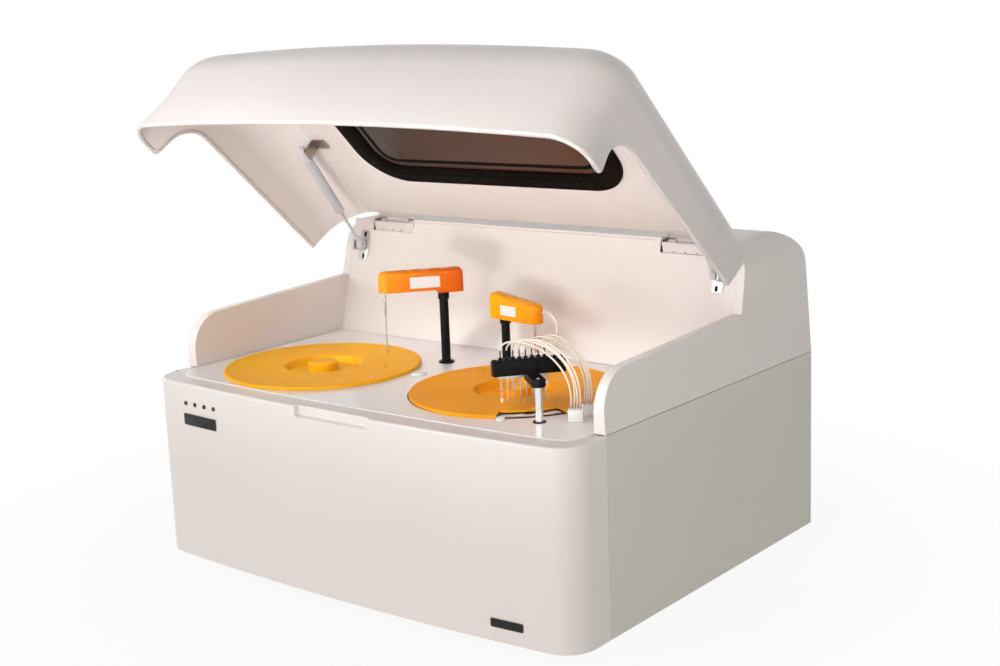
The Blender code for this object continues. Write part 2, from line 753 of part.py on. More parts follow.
def deck_plate():
    """Flat deck with openings for the discs, the arms, the wash post and the wash cup."""
    shell = prism(deck_plan(WALL_BASE + DECK_TAIL), DECK_UNDER, DECK_TOP)
    holes = [(spot, DECK_HOLE_RADIUS, DISC_SIDES) for spot in DISC_CENTRES.values()]
    for arm in ARMS.values():
        radius = arm["post_radius"] + SLEEVE_RUNNING_GAP + SLEEVE_WALL + SLEEVE_RUNNING_GAP
        holes.append((arm["post"], radius, POST_SIDES))
    holes.append((WASH_POST, WASH_BUSH_RADIUS - WASH_BUSH_RIM + GAP, POST_SIDES))
    holes.append((CUP_SPOT, CUP_BORE + CUP_TUBE_WALL + GAP, POST_SIDES))
    for spot, radius, sides in holes:
        tool = prism(circle(radius, spot, sides), DECK_UNDER - OVERRUN, DECK_TOP + OVERRUN)
        shell = cut(shell, tool)
    return piece("deck_plate", shell, DECK_WHITE)


def base_pan():
    """Sheet metal tray that carries the casing, with four posts under the deck."""
    rear = BODY_DEPTH - PANEL - GAP
    inset = PANEL + GAP
    pan = prism(front_cover_plan(rear, inset), 0, PAN_HEIGHT)
    inner = prism(front_cover_plan(rear - PAN_SHEET, inset + PAN_SHEET), PAN_SHEET, PAN_HEIGHT + OVERRUN)
    pan = cut(pan, inner)
    reach = HALF * POST_SIDE
    for x in (-POST_X, POST_X):
        for y in POST_ROWS:
            post = box((x - reach, y - reach, HALF * PAN_SHEET), (x + reach, y + reach, DECK_UNDER - GAP))
            pan = join(pan, post)
    return piece("base_pan", pan, SHEET)


def feet():
    """Four round rubber feet."""
    made = []
    for row, y in zip(("front", "rear"), FOOT_ROWS):
        for side, x in (("left", -FOOT_X), ("right", FOOT_X)):
            mesh = prism(circle(FOOT_RADIUS, (x, y), POST_SIDES), -FOOT_HEIGHT, -GAP)
            made.append(piece(f"foot_{row}_{side}", mesh, RUBBER))
    return made


def front_plate(name, spec, x):
    """Thin bare plate laid on the bulged front."""
    y, turn = front_surface(x)
    half_x = HALF * spec["width"]
    half_z = HALF * spec["height"]
    mesh = box((-half_x, -PLATE_GAP - PLATE_THICKNESS, -half_z), (half_x, -PLATE_GAP, half_z))
    return piece(name, moved(mesh, (x, y, spec["z"]), turn), BLACK)


def indicator_board():
    """Small board behind the front with four round indicators that reach through it."""
    half_run = HALF * (LED_COUNT - 1) * LED_PITCH
    middle = LED_FIRST + half_run
    y, turn = front_surface(middle)
    start = PANEL + LED_BOARD_GAP
    half_x = half_run + LED_BOARD_BORDER
    half_z = HALF * LED_BOARD_HEIGHT
    board = box((-half_x, start, -half_z), (half_x, start + LED_BOARD_SHEET, half_z))
    for index in range(LED_COUNT):
        x = index * LED_PITCH - half_run
        stub = prism(circle(LED_RADIUS, (x, 0), PIN_SIDES), -LED_PROUD, start + HALF * LED_BOARD_SHEET, "y")
        board = join(board, stub)
    return piece("indicator_board", moved(board, (middle, y, LED_HEIGHT), turn), BOARD)


def disc_parts(side):
    """Cover, well, rotor and motor of one disc."""
    centre = (*DISC_CENTRES[side], 0)
    top = SHELL_BASE + COVER_THICKNESS
    under = top - COVER_SHEET
    lip_end = DECK_TOP - COVER_LIP_DEPTH
    lip_inner = COVER_LIP_RADIUS - COVER_LIP_WALL
    bowl_floor = top - BOWL_DEPTH
    profile = [
        (0, top + KNOB_RISE), (KNOB_RADIUS - KNOB_EDGE, top + KNOB_RISE),
        (KNOB_RADIUS, top + KNOB_RISE - KNOB_EDGE), (KNOB_RADIUS, bowl_floor),
        (BOWL_RADIUS - BOWL_SLOPE, bowl_floor), (BOWL_RADIUS, top),
        (COVER_RADIUS - COVER_EDGE, top), (COVER_RADIUS, top - COVER_EDGE), (COVER_RADIUS, SHELL_BASE),
        (COVER_LIP_RADIUS, SHELL_BASE), (COVER_LIP_RADIUS, lip_end), (lip_inner, lip_end),
        (lip_inner, under), (BOWL_RADIUS + COVER_SHEET, under),
        (BOWL_RADIUS + COVER_SHEET - BOWL_SLOPE, bowl_floor - COVER_SHEET), (0, bowl_floor - COVER_SHEET),
    ]
    shell = turned(profile, DISC_SIDES)
    for radius, turn in HOLE_SPOTS[side]:
        spot = (radius * math.cos(turn), radius * math.sin(turn))
        shell = cut(shell, prism(circle(HOLE_RADIUS, spot, PIN_SIDES), lip_end - OVERRUN, top + OVERRUN))
    if side == "right":
        far = COVER_RADIUS + OVERRUN
        outline = arc((0, 0), far, SECTOR_START, SECTOR_END, ARC_STEPS)
        outline += arc((0, 0), SECTOR_INNER, SECTOR_END, SECTOR_START, ARC_STEPS)
        shell = cut(shell, prism(outline, lip_end - OVERRUN, top + OVERRUN))
    cover = piece(side + "_disc_cover", moved(shell, centre), YELLOW)

    rim = DECK_UNDER - GAP
    profile = [
        (WELL_RADIUS, rim), (WELL_FLANGE_RADIUS, rim), (WELL_FLANGE_RADIUS, rim - WELL_FLANGE),
        (WELL_RADIUS + WELL_WALL, rim - WELL_FLANGE), (WELL_RADIUS + WELL_WALL, WELL_FLOOR),
        (WELL_HUB_HOLE, WELL_FLOOR), (WELL_HUB_HOLE, WELL_FLOOR + WELL_WALL),
        (WELL_RADIUS, WELL_FLOOR + WELL_WALL),
    ]
    well = piece(side + "_disc_well", moved(turned(profile, DISC_SIDES), centre), WHITE)

    motor_top = WELL_FLOOR - GAP
    boss_top = motor_top + MOTOR_BOSS_RISE
    profile = [
        (0, boss_top), (MOTOR_BOSS_RADIUS, boss_top), (MOTOR_BOSS_RADIUS, motor_top),
        (MOTOR_RADIUS, motor_top), (MOTOR_RADIUS, motor_top - MOTOR_HEIGHT), (0, motor_top - MOTOR_HEIGHT),
    ]
    motor = piece(side + "_disc_motor", moved(turned(profile, ROTOR_SIDES), centre), BLACK)

    wall_top = ROTOR_WALL_TOP[side]
    channel = ROTOR_CHANNEL_INNER[side]
    plate_under = ROTOR_PLATE_TOP - ROTOR_PLATE
    hub_end = boss_top + GAP
    profile = [
        (0, ROTOR_PLATE_TOP), (channel - ROTOR_WALL, ROTOR_PLATE_TOP), (channel - ROTOR_WALL, wall_top),
        (channel, wall_top), (channel, ROTOR_PLATE_TOP), (ROTOR_RADIUS - ROTOR_WALL, ROTOR_PLATE_TOP),
        (ROTOR_RADIUS - ROTOR_WALL, wall_top), (ROTOR_RADIUS, wall_top), (ROTOR_RADIUS, plate_under),
        (ROTOR_HUB_RADIUS, plate_under), (ROTOR_HUB_RADIUS, hub_end), (0, hub_end),
    ]
    name = {"left": "sample_tray", "right": "reaction_rotor"}[side]
    rotor = piece(name, moved(turned(profile, ROTOR_SIDES), centre), WHITE)
    return cover, well, motor, rotor


def arm_parts(name, spec):
    """Sleeve in the deck, lifting post, cover and the tool that hangs from it."""
    spot = (*spec["post"], 0)
    post_radius = spec["post_radius"]
    bore = post_radius + SLEEVE_RUNNING_GAP
    outer = bore + SLEEVE_WALL
    ring_top = DECK_TOP + GAP + SLEEVE_RING
    profile = [
        (bore, ring_top), (SLEEVE_RING_RADIUS, ring_top), (SLEEVE_RING_RADIUS, DECK_TOP + GAP),
        (outer, DECK_TOP + GAP), (outer, DECK_TOP - SLEEVE_DEPTH), (bore, DECK_TOP - SLEEVE_DEPTH),
    ]
    sleeve = piece(name + "_sleeve", moved(turned(profile, POST_SIDES), spot), BLACK)

    collar_top = spec["collar_top"]
    collar_base = collar_top - spec["collar"]
    profile = [
        (0, collar_top), (COLLAR_RADIUS, collar_top), (COLLAR_RADIUS, collar_base),
        (post_radius, collar_base), (post_radius, DECK_TOP - POST_DEPTH), (0, DECK_TOP - POST_DEPTH),
    ]
    post = piece(name + "_post", moved(turned(profile, POST_SIDES), spot), BLACK)

    half = HALF * spec["width"]
    reach = spec["reach"]
    base = collar_top + GAP
    top = base + spec["height"]
    end = reach + spec["nose"]
    nose = arc((end - half, 0), half, -math.pi * HALF, math.pi * HALF, ARC_STEPS + 1)
    tail = rounded((-spec["tail"], -half), (end, half), ARM_EDGE)[2 * ARC_STEPS + 2:]
    outline = nose + tail
    middle = (HALF * (end - spec["tail"]), 0)
    long_half = HALF * (end + spec["tail"])
    slope = HALF * spec["fall"] / long_half
    rings = [[(x, y, base) for x, y in outline]]
    for step in range(ARC_STEPS + 1):
        turn = math.pi * HALF * step / ARC_STEPS
        inset = ARM_EDGE * (1 - math.cos(turn))
        z = top - ARM_EDGE * (1 - math.sin(turn))
        shrink_x = 1 - inset / long_half
        shrink_y = 1 - inset / half
        plan = [(middle[0] + (x - middle[0]) * shrink_x, y * shrink_y) for x, y in outline]
        rings.append([(x, y, z - slope * (x + spec["tail"])) for x, y in plan])
    shell = loft(rings)
    under = base
    if name == "front_arm":
        under = base + ARM_STEP
        low = (ARM_STEP_START, -half - OVERRUN, base - OVERRUN)
        shell = cut(shell, box(low, (end + OVERRUN, half + OVERRUN, under)))
    cover = piece(name + "_cover", moved(shell, spot, spec["turn"]), ORANGE)

    tool_top = under - GAP
    tip = spec["tip"]
    if name == "front_arm":
        shank = tool_top - NEEDLE_SHANK_LENGTH
        profile = [
            (0, tool_top), (NEEDLE_SHANK_RADIUS, tool_top), (NEEDLE_SHANK_RADIUS, shank),
            (NEEDLE_RADIUS, shank), (NEEDLE_RADIUS, tip), (0, tip),
        ]
        tool = turned(profile, PIN_SIDES)
        label = "_needle"
    else:
        profile = [
            (0, tool_top), (NEEDLE_SHANK_RADIUS, tool_top),
            (NEEDLE_SHANK_RADIUS, tip + HALF * PADDLE_HEIGHT), (0, tip + HALF * PADDLE_HEIGHT),
        ]
        blade_half = HALF * PADDLE_WIDTH
        blade_thin = HALF * PADDLE_THICKNESS
        blade = box((-blade_half, -blade_thin, tip), (blade_half, blade_thin, tip + PADDLE_HEIGHT))
        tool = join(turned(profile, PIN_SIDES), blade)
        label = "_paddle"
    x = spot[0] + reach * math.cos(spec["turn"])
    y = spot[1] + reach * math.sin(spec["turn"])
    tool = piece(name + label, moved(tool, (x, y, 0)), STEEL)
    return sleeve, post, cover, tool


def wash_head():
    """Bar with clamp, eight needles on a strip, chrome post and its bush in the deck."""
    first = (*WASH_FIRST, 0)
    run = (WASH_COUNT - 1) * WASH_PITCH
    along = (math.cos(WASH_TURN), math.sin(WASH_TURN))
    offset = (WASH_POST[0] - WASH_FIRST[0], WASH_POST[1] - WASH_FIRST[1])
    post_u = offset[0] * along[0] + offset[1] * along[1]
    post_v = offset[1] * along[0] - offset[0] * along[1]
    half = HALF * WASH_BAR_WIDTH
    outline = rounded((-WASH_BAR_FRONT, -half), (run + WASH_BAR_REAR, half), WASH_BAR_EDGE, 2)
    bar = prism(outline, WASH_BAR_BASE, WASH_BAR_TOP)
    arm_half = HALF * WASH_ARM_WIDTH
    arm = box(
        (post_u - arm_half, post_v, WASH_CLAMP_BASE), (post_u + arm_half, -WASH_ARM_START, WASH_CLAMP_TOP)
    )
    clamp = prism(circle(WASH_CLAMP_RADIUS, (post_u, post_v), POST_SIDES), WASH_CLAMP_BASE, WASH_CLAMP_TOP)
    bar = join(bar, join(arm, clamp))
    bar = piece("wash_bar", moved(bar, first, WASH_TURN), BLACK)

    strip_top = WASH_BAR_BASE - GAP
    strip_half = HALF * WASH_STRIP_WIDTH
    strip = box(
        (-WASH_STRIP_END, -strip_half, strip_top - WASH_STRIP_HEIGHT),
        (run + WASH_STRIP_END, strip_half, strip_top),
    )
    for index in range(WASH_COUNT):
        outline = circle(WASH_NEEDLE_RADIUS, (index * WASH_PITCH, 0), PIN_SIDES)
        strip = join(strip, prism(outline, WASH_NEEDLE_TIP, strip_top - HALF * WASH_STRIP_HEIGHT))
    needles = piece("wash_needles", moved(strip, first, WASH_TURN), STEEL)

    outline = circle(WASH_POST_RADIUS, WASH_POST, POST_SIDES)
    post = piece("wash_post", prism(outline, DECK_TOP - WASH_POST_DEPTH, WASH_CLAMP_BASE - GAP), CHROME)

    bore = WASH_POST_RADIUS + SLEEVE_RUNNING_GAP
    body = WASH_BUSH_RADIUS - WASH_BUSH_RIM
    rim = DECK_TOP + GAP
    profile = [
        (bore, rim + WASH_BUSH_RISE), (WASH_BUSH_RADIUS, rim + WASH_BUSH_RISE), (WASH_BUSH_RADIUS, rim),
        (body, rim), (body, DECK_TOP - WASH_BUSH_DEPTH), (bore, DECK_TOP - WASH_BUSH_DEPTH),
    ]
    bush = piece("wash_bush", moved(turned(profile, POST_SIDES), (*WASH_POST, 0)), BLACK)
    return bar, needles, post, bush


def drain_block(name, spec):
    """White block with a row of upright steel pins, as one moulding."""
    half_x = HALF * spec["width"]
    half_y = HALF * DRAIN_DEPTH
    base = DECK_TOP + GAP
    top = base + spec["height"]
    block = box((-half_x, -half_y, base), (half_x, half_y, top))
    pitch = spec["width"] / (DRAIN_PINS + 1)
    for index in range(DRAIN_PINS):
        x = (index + 1) * pitch - half_x
        pin = prism(circle(DRAIN_PIN_RADIUS, (x, 0), PIN_SIDES), top - OVERRUN, top + DRAIN_PIN_HEIGHT)
        block = join(block, pin)
    spot = (WING_INNER - spec["inset"], spec["y"], 0)
    return piece("drain_block_" + name, moved(block, spot, DRAIN_TURN), WHITE)


def hose(name, spec, row):
    """Bundle of thin hoses from the wash bar over to the pins of a drain block."""
    share_along = {"front": 0.35, "rear": 0.85}[row]
    run = (WASH_COUNT - 1) * WASH_PITCH
    start = Vector((
        WASH_FIRST[0] + share_along * run * math.cos(WASH_TURN),
        WASH_FIRST[1] + share_along * run * math.sin(WASH_TURN),
        WASH_BAR_TOP + SEAM,
    ))
    pin_top = DECK_TOP + GAP + spec["height"] + DRAIN_PIN_HEIGHT + SEAM
    end = Vector((WING_INNER - spec["inset"], spec["y"], pin_top))
    rise = Vector((0, 0, 2 * HOSE_RISE))
    count = HOSE_SAMPLES
    curve = bpy.data.curves.new(name, "CURVE")
    curve.dimensions = "3D"
    curve.bevel_depth = HOSE_RADIUS
    curve.bevel_resolution = HOSE_BEVEL_STEPS
    curve.use_fill_caps = True
    curve.render_resolution_u = 0
    spline = curve.splines.new("POLY")
    spline.points.add(count - 1)
    start_pull = start + rise
    end_pull = end + rise + Vector((0, 0, start.z - end.z))
    for index in range(count):
        t = index / (count - 1)
        s = 1 - t
        point = start * s ** 3 + start_pull * 3 * s * s * t + end_pull * 3 * s * t * t + end * t ** 3
        spline.points[index].co = (*point, 1.0)
    made = bpy.data.objects.new(name, curve)
    curve.materials.append(HOSE)
    bpy.context.scene.collection.objects.link(made)
    return made


def wash_cups():
    """Cup with a drain tube beside the left disc, and a small one beside the right disc."""
    rim = DECK_TOP + GAP + CUP_RISE
    tube = CUP_BORE + CUP_TUBE_WALL
    profile = [
        (CUP_BORE, rim), (CUP_RADIUS, rim), (CUP_RADIUS, DECK_TOP + GAP), (tube, DECK_TOP + GAP),
        (tube, DECK_TOP - CUP_DEPTH), (CUP_BORE, DECK_TOP - CUP_DEPTH),
    ]
    large = piece("wash_cup_left", moved(turned(profile, POST_SIDES), (*CUP_SPOT, 0)), WHITE)
    base = DECK_TOP + GAP
    profile = [
        (0, base + SMALL_CUP_FLOOR), (SMALL_CUP_BORE, base + SMALL_CUP_FLOOR),
        (SMALL_CUP_BORE, base + SMALL_CUP_RISE), (SMALL_CUP_RADIUS, base + SMALL_CUP_RISE),
        (SMALL_CUP_RADIUS, base), (0, base),
    ]
    small = piece("wash_cup_right", moved(turned(profile, POST_SIDES), (*SMALL_CUP_SPOT, 0)), WHITE)
    return large, small


def lid_ring(z, inset, rear):
    """Plan of the lid's surface at height z, closed."""
    top = LID_TOP - inset

    def drop(radius):
        above = z - (top - radius)
        return 0 if above <= 0 else radius - math.sqrt(max(0, radius ** 2 - above ** 2))

    rise = z - LID_BASE
    flare_share = min(1, max(0, 1 - rise / LID_FLARE_HEIGHT)) ** LID_FLARE_POWER
    side = LID_HALF - inset - drop(LID_SIDE_RADIUS - inset)
    half = side - rise * math.tan(LID_SIDE_DRAFT) + LID_SIDE_FLARE * flare_share
    rear_half = side - rise * math.tan(LID_REAR_DRAFT) + LID_REAR_WIDENING
    front = LID_FRONT + inset + rise * math.tan(LID_FRONT_DRAFT) + drop(LID_FRONT_RADIUS - inset)
    front -= LID_FRONT_FLARE * flare_share
    plan = front_plan(half, front, rear, LID_CORNER - inset, LID_BULGE)[1:-1]
    plan = [(rear_half, rear)] + plan + [(-rear_half, rear)]
    return [(x, y, z) for x, y in plan]


def lid_solid(inset, base, rear):
    """Closed solid of the lid's outer or inner surface."""
    radius = LID_FRONT_RADIUS - inset
    centre_z = LID_TOP - inset - radius
    turns = [math.pi * HALF * step / (2 * ARC_STEPS) for step in range(2 * ARC_STEPS + 1)]
    rim = [LID_BASE + LID_FLARE_HEIGHT * step / RIM_STEPS for step in range(RIM_STEPS + 1)]
    heights = ([base] if base < LID_BASE else []) + rim
    heights += [centre_z + radius * math.sin(turn) for turn in turns]
    return loft([lid_ring(z, inset, rear) for z in heights])


def lid_shell():
    """Moulded lid, open below and to the rear, with sides that hang down outside the wings."""
    shell = lid_solid(0, LID_BASE, LID_REAR)
    shell = cut(shell, lid_solid(LID_WALL, LID_BASE - OVERRUN, LID_REAR + OVERRUN))
    edge = lid_edge()
    low_z = LID_BASE - OVERRUN
    high_z = LID_TOP + OVERRUN
    start_y, start_z = edge[-1]
    slope = math.tan(WING_SLOPE)
    lean = math.tan(WALL_LEAN)
    base_y = wall_y(start_z) - LID_WALL_GAP
    meet_y = (base_y - lean * slope * start_y) / (1 - lean * slope)
    meet = (meet_y, start_z + slope * (meet_y - start_y))
    view = [(edge[0][0], low_z)] + edge + [meet, (wall_y(high_z) - LID_WALL_GAP, high_z)]
    view += [(BODY_DEPTH, high_z), (BODY_DEPTH, low_z)]
    reach = LID_HALF + LID_SIDE_FLARE + OVERRUN
    shell = cut(shell, prism(view, -reach, reach, "x"))
    inner = FRAME_BAND - PANE_LEDGE
    low = (-FRAME_HALF + inner, FRAME_FRONT + inner)
    high = (FRAME_HALF - inner, FRAME_REAR - inner)
    window = prism(rounded(low, high, FRAME_CORNER - inner), INNER_TOP - OVERRUN, LID_TOP + OVERRUN)
    return piece("lid_shell", cut(shell, window), LID_WHITE)


def lid_window():
    """Black frame inside the lid and the smoked pane that it holds."""
    top = INNER_TOP - GAP
    low = (-FRAME_HALF, FRAME_FRONT)
    high = (FRAME_HALF, FRAME_REAR)
    ring = prism(rounded(low, high, FRAME_CORNER), top - FRAME_THICKNESS, top)
    low = (low[0] + FRAME_BAND, low[1] + FRAME_BAND)
    high = (high[0] - FRAME_BAND, high[1] - FRAME_BAND)
    hole = prism(rounded(low, high, FRAME_CORNER - FRAME_BAND), top - FRAME_THICKNESS - OVERRUN, top + OVERRUN)
    frame = piece("window_frame", cut(ring, hole), BLACK)
    ledge = PANE_LEDGE - PANE_EDGE_GAP
    low = (low[0] - ledge, low[1] - ledge)
    high = (high[0] + ledge, high[1] + ledge)
    outline = rounded(low, high, FRAME_CORNER - FRAME_BAND + ledge)
    pane = piece("window_pane", prism(outline, top + GAP, top + GAP + PANE_THICKNESS), SMOKED)
    return frame, pane


def hinge_parts(side):
    """Fixed leaf with its pin in the tower's notch, and the leaf on the lid."""
    half = HALF * HINGE_POCKET_WIDTH - HINGE_SIDE_GAP
    low_x = HINGE_X - half
    high_x = HINGE_X + half
    floor = HINGE_NOTCH_FLOOR + GAP
    leaf = box((low_x, HINGE_PLATE_FRONT, floor), (high_x, HINGE_NOTCH_REAR - GAP, floor + HINGE_PLATE))
    barrel = circle(KNUCKLE_RADIUS, (HINGE_Y, HINGE_Z), POST_SIDES)
    knuckles = ((low_x, low_x + KNUCKLE_WIDTH), (high_x - KNUCKLE_WIDTH, high_x))
    for start, end in knuckles:
        web = HALF * KNUCKLE_RADIUS
        stand = box((start, HINGE_Y - web, floor + HALF * HINGE_PLATE), (end, HINGE_Y + web, HINGE_Z))
        leaf = join(leaf, join(stand, prism(barrel, start, end, "x")))
    pin = prism(circle(PIN_RADIUS, (HINGE_Y, HINGE_Z), POST_SIDES), low_x + web, high_x - web, "x")
    fixed = piece("hinge_base_" + side, mirrored(join(leaf, pin), side), LID_WHITE)

    start = low_x + KNUCKLE_WIDTH + KNUCKLE_GAP
    end = high_x - KNUCKLE_WIDTH - KNUCKLE_GAP
    top = INNER_TOP - GAP
    plate_rear = HINGE_Y - KNUCKLE_RADIUS - LEAF_CLEARANCE
    plate = box((low_x, LEAF_FRONT, top - LEAF_THICKNESS), (high_x, plate_rear, top))
    neck = box((start, plate_rear - LEAF_THICKNESS, top - LEAF_THICKNESS), (end, HINGE_Y, HINGE_Z + PIN_RADIUS))
    bore = circle(PIN_RADIUS + PIN_CLEARANCE, (HINGE_Y, HINGE_Z), POST_SIDES)
    moving = join(join(prism(barrel, start, end, "x"), neck), plate)
    moving = cut(moving, prism(bore, start - OVERRUN, end + OVERRUN, "x"))
    return fixed, piece("hinge_leaf_" + side, mirrored(moving, side), LID_WHITE)


def strut_parts(side):
    """Wall bracket, rod, tube and lid bracket of a gas strut; rod and tube are drawn level."""
    ear_x = STRUT_X + BRACKET_EAR_GAP - BRACKET_SHEET
    wall_run = (wall_y(STRUT_PIVOT_Z) - STRUT_PIVOT_Y) * math.cos(WALL_LEAN) - GAP
    half_height = HALF * BRACKET_HEIGHT
    ear_half = HALF * BRACKET_EAR_HEIGHT
    start_x = ear_x + BRACKET_SHEET - BRACKET_WIDTH
    plate = box((start_x, wall_run - BRACKET_SHEET, -half_height), (ear_x + BRACKET_SHEET, wall_run, half_height))
    ear = box((ear_x, -ear_half, -ear_half), (ear_x + BRACKET_SHEET, wall_run - HALF * BRACKET_SHEET, ear_half))
    pin_outline = circle(STRUT_PIN_RADIUS, (0, 0), PIN_SIDES)
    pin = prism(pin_outline, STRUT_X - HALF * STRUT_EYE_WIDTH, ear_x + HALF * BRACKET_SHEET, "x")
    bracket = moved(join(join(plate, ear), pin), (0, STRUT_PIVOT_Y, STRUT_PIVOT_Z), -WALL_LEAN, "X")
    wall_bracket = piece("strut_wall_bracket_" + side, mirrored(bracket, side), STEEL)

    pivot = (STRUT_X, STRUT_PIVOT_Y, STRUT_PIVOT_Z)
    half_eye = HALF * STRUT_EYE_WIDTH
    eye = prism(circle(STRUT_EYE_RADIUS, (0, 0), POST_SIDES), -half_eye, half_eye, "x")
    neck_radius = HALF * STRUT_EYE_WIDTH - GAP
    neck = prism(circle(neck_radius, (0, 0), POST_SIDES), -STRUT_EYE_REACH, -HALF * STRUT_EYE_RADIUS, "y")
    rod = prism(circle(STRUT_ROD_RADIUS, (0, 0), POST_SIDES), -STRUT_ROD_END, -HALF * STRUT_EYE_REACH, "y")
    bore = prism(circle(STRUT_PIN_RADIUS + PIN_CLEARANCE, (0, 0), PIN_SIDES), -OVERRUN, OVERRUN, "x")
    rod = cut(join(join(eye, neck), rod), bore)
    rod = piece("strut_rod_" + side, mirrored(moved(rod, pivot), side), SATIN_GREY)

    half_cap = HALF * STRUT_CAP_LENGTH
    profile = [
        (STRUT_BORE_RADIUS, STRUT_TUBE_START), (STRUT_TUBE_RADIUS, STRUT_TUBE_START),
        (STRUT_TUBE_RADIUS, STRUT_TUBE_END), (STRUT_CAP_RADIUS, STRUT_TUBE_END),
        (STRUT_CAP_RADIUS, STRUT_REACH), (HALF * STRUT_CAP_RADIUS, STRUT_REACH + half_cap),
        (0, STRUT_REACH + half_cap), (0, STRUT_TUBE_START + STRUT_BORE_DEPTH),
        (STRUT_BORE_RADIUS, STRUT_TUBE_START + STRUT_BORE_DEPTH),
    ]
    tube = moved(turned(profile, POST_SIDES), turn=math.pi * HALF, axis="X")
    upper_ear_x = -BRACKET_EAR_GAP
    stud_outline = circle(STRUT_STUD_RADIUS, (-STRUT_REACH, 0), POST_SIDES)
    stud = prism(stud_outline, upper_ear_x + GAP, 0, "x")
    tube = join(tube, stud)
    tube = piece("strut_tube_" + side, mirrored(moved(tube, pivot), side), SATIN_GREY)

    ear_face = STRUT_X + upper_ear_x
    plate_top = INNER_TOP - UPPER_PLATE_GAP
    low_y = UPPER_PIVOT_Y - UPPER_EAR_HALF
    high_y = UPPER_PIVOT_Y + UPPER_EAR_HALF
    plate = box(
        (ear_face - UPPER_PLATE_WIDTH, low_y, plate_top - BRACKET_SHEET), (ear_face, high_y, plate_top)
    )
    ear = box(
        (ear_face - BRACKET_SHEET, low_y, UPPER_PIVOT_Z - UPPER_EAR_DROP),
        (ear_face, high_y, plate_top - HALF * BRACKET_SHEET),
    )
    lid_bracket = piece("strut_lid_bracket_" + side, mirrored(join(plate, ear), side), STEEL)
    return wall_bracket, rod, tube, lid_bracket


def inner_units():
    """Power supply and sample pump on the base pan."""
    floor = PAN_SHEET + GAP
    half = [HALF * size for size in SUPPLY_SIZE]
    low = (SUPPLY_SPOT[0] - half[0], SUPPLY_SPOT[1] - half[1], floor)
    high = (SUPPLY_SPOT[0] + half[0], SUPPLY_SPOT[1] + half[1], floor + SUPPLY_SIZE[2])
    supply = piece("power_supply", box(low, high), SHEET)
    half = [HALF * size for size in PUMP_SIZE]
    low = (PUMP_SPOT[0] - half[0], PUMP_SPOT[1] - half[1], floor)
    high = (PUMP_SPOT[0] + half[0], PUMP_SPOT[1] + half[1], floor + PUMP_SIZE[2])
    spot = (PUMP_SPOT[0], low[1])
    start = floor + HALF * PUMP_SIZE[2]
    barrel = prism(circle(SYRINGE_RADIUS, spot, POST_SIDES), start, start + SYRINGE_LENGTH)
    pump = piece("sample_pump", join(box(low, high), barrel), GREY)
    return supply, pump


def inlet_parts():
    """Mains inlet with three pins, and the rocker switch in the same housing."""
    face = BODY_DEPTH - INLET_FACE
    half_x = HALF * INLET_WIDTH
    half_z = HALF * INLET_HEIGHT
    body = box(
        (INLET_X - half_x, face - INLET_DEPTH, INLET_Z - half_z), (INLET_X + half_x, face, INLET_Z + half_z)
    )
    socket_z = INLET_Z - SOCKET_DROP
    socket = box(
        (INLET_X - HALF * SOCKET_WIDTH, face - SOCKET_DEPTH, socket_z - HALF * SOCKET_HEIGHT),
        (INLET_X + HALF * SOCKET_WIDTH, face + OVERRUN, socket_z + HALF * SOCKET_HEIGHT),
    )
    rocker_z = INLET_Z + ROCKER_RISE
    reach_x = HALF * ROCKER_WIDTH + ROCKER_CLEARANCE
    reach_z = HALF * ROCKER_HEIGHT + ROCKER_CLEARANCE
    well = box(
        (INLET_X - reach_x, face - ROCKER_WELL_DEPTH, rocker_z - reach_z),
        (INLET_X + reach_x, face + OVERRUN, rocker_z + reach_z),
    )
    body = cut(body, socket, well)
    for step in (-1, 0, 1):
        x = INLET_X + step * SOCKET_PIN_SPACING
        pin = box(
            (x - HALF * SOCKET_PIN, face - SOCKET_DEPTH - HALF * INLET_WALL, socket_z - HALF * SOCKET_PIN_HEIGHT),
            (x + HALF * SOCKET_PIN, face - SOCKET_DEPTH + SOCKET_PIN_LENGTH, socket_z + HALF * SOCKET_PIN_HEIGHT),
        )
        body = join(body, pin)
    inlet = piece("mains_inlet", body, BLACK)

    pivot = (INLET_X, face - ROCKER_SET_BACK, rocker_z)
    half_high = HALF * ROCKER_HEIGHT
    front = ROCKER_SET_BACK - ROCKER_CREST
    outline = [
        (-ROCKER_DEPTH, -half_high + ROCKER_CREST), (front, -half_high), (front - ROCKER_CREST, 0),
        (front, half_high), (-ROCKER_DEPTH, half_high - ROCKER_CREST),
    ]
    shape = prism(outline, -HALF * ROCKER_WIDTH, HALF * ROCKER_WIDTH, "x")
    rocker = piece("power_rocker", moved(shape, pivot), BLACK)
    holder = axle("rocker_axis", pivot)
    carry(holder, rocker)
    holder.rotation_euler.x = -ROCKER_TILT
    return inlet, holder


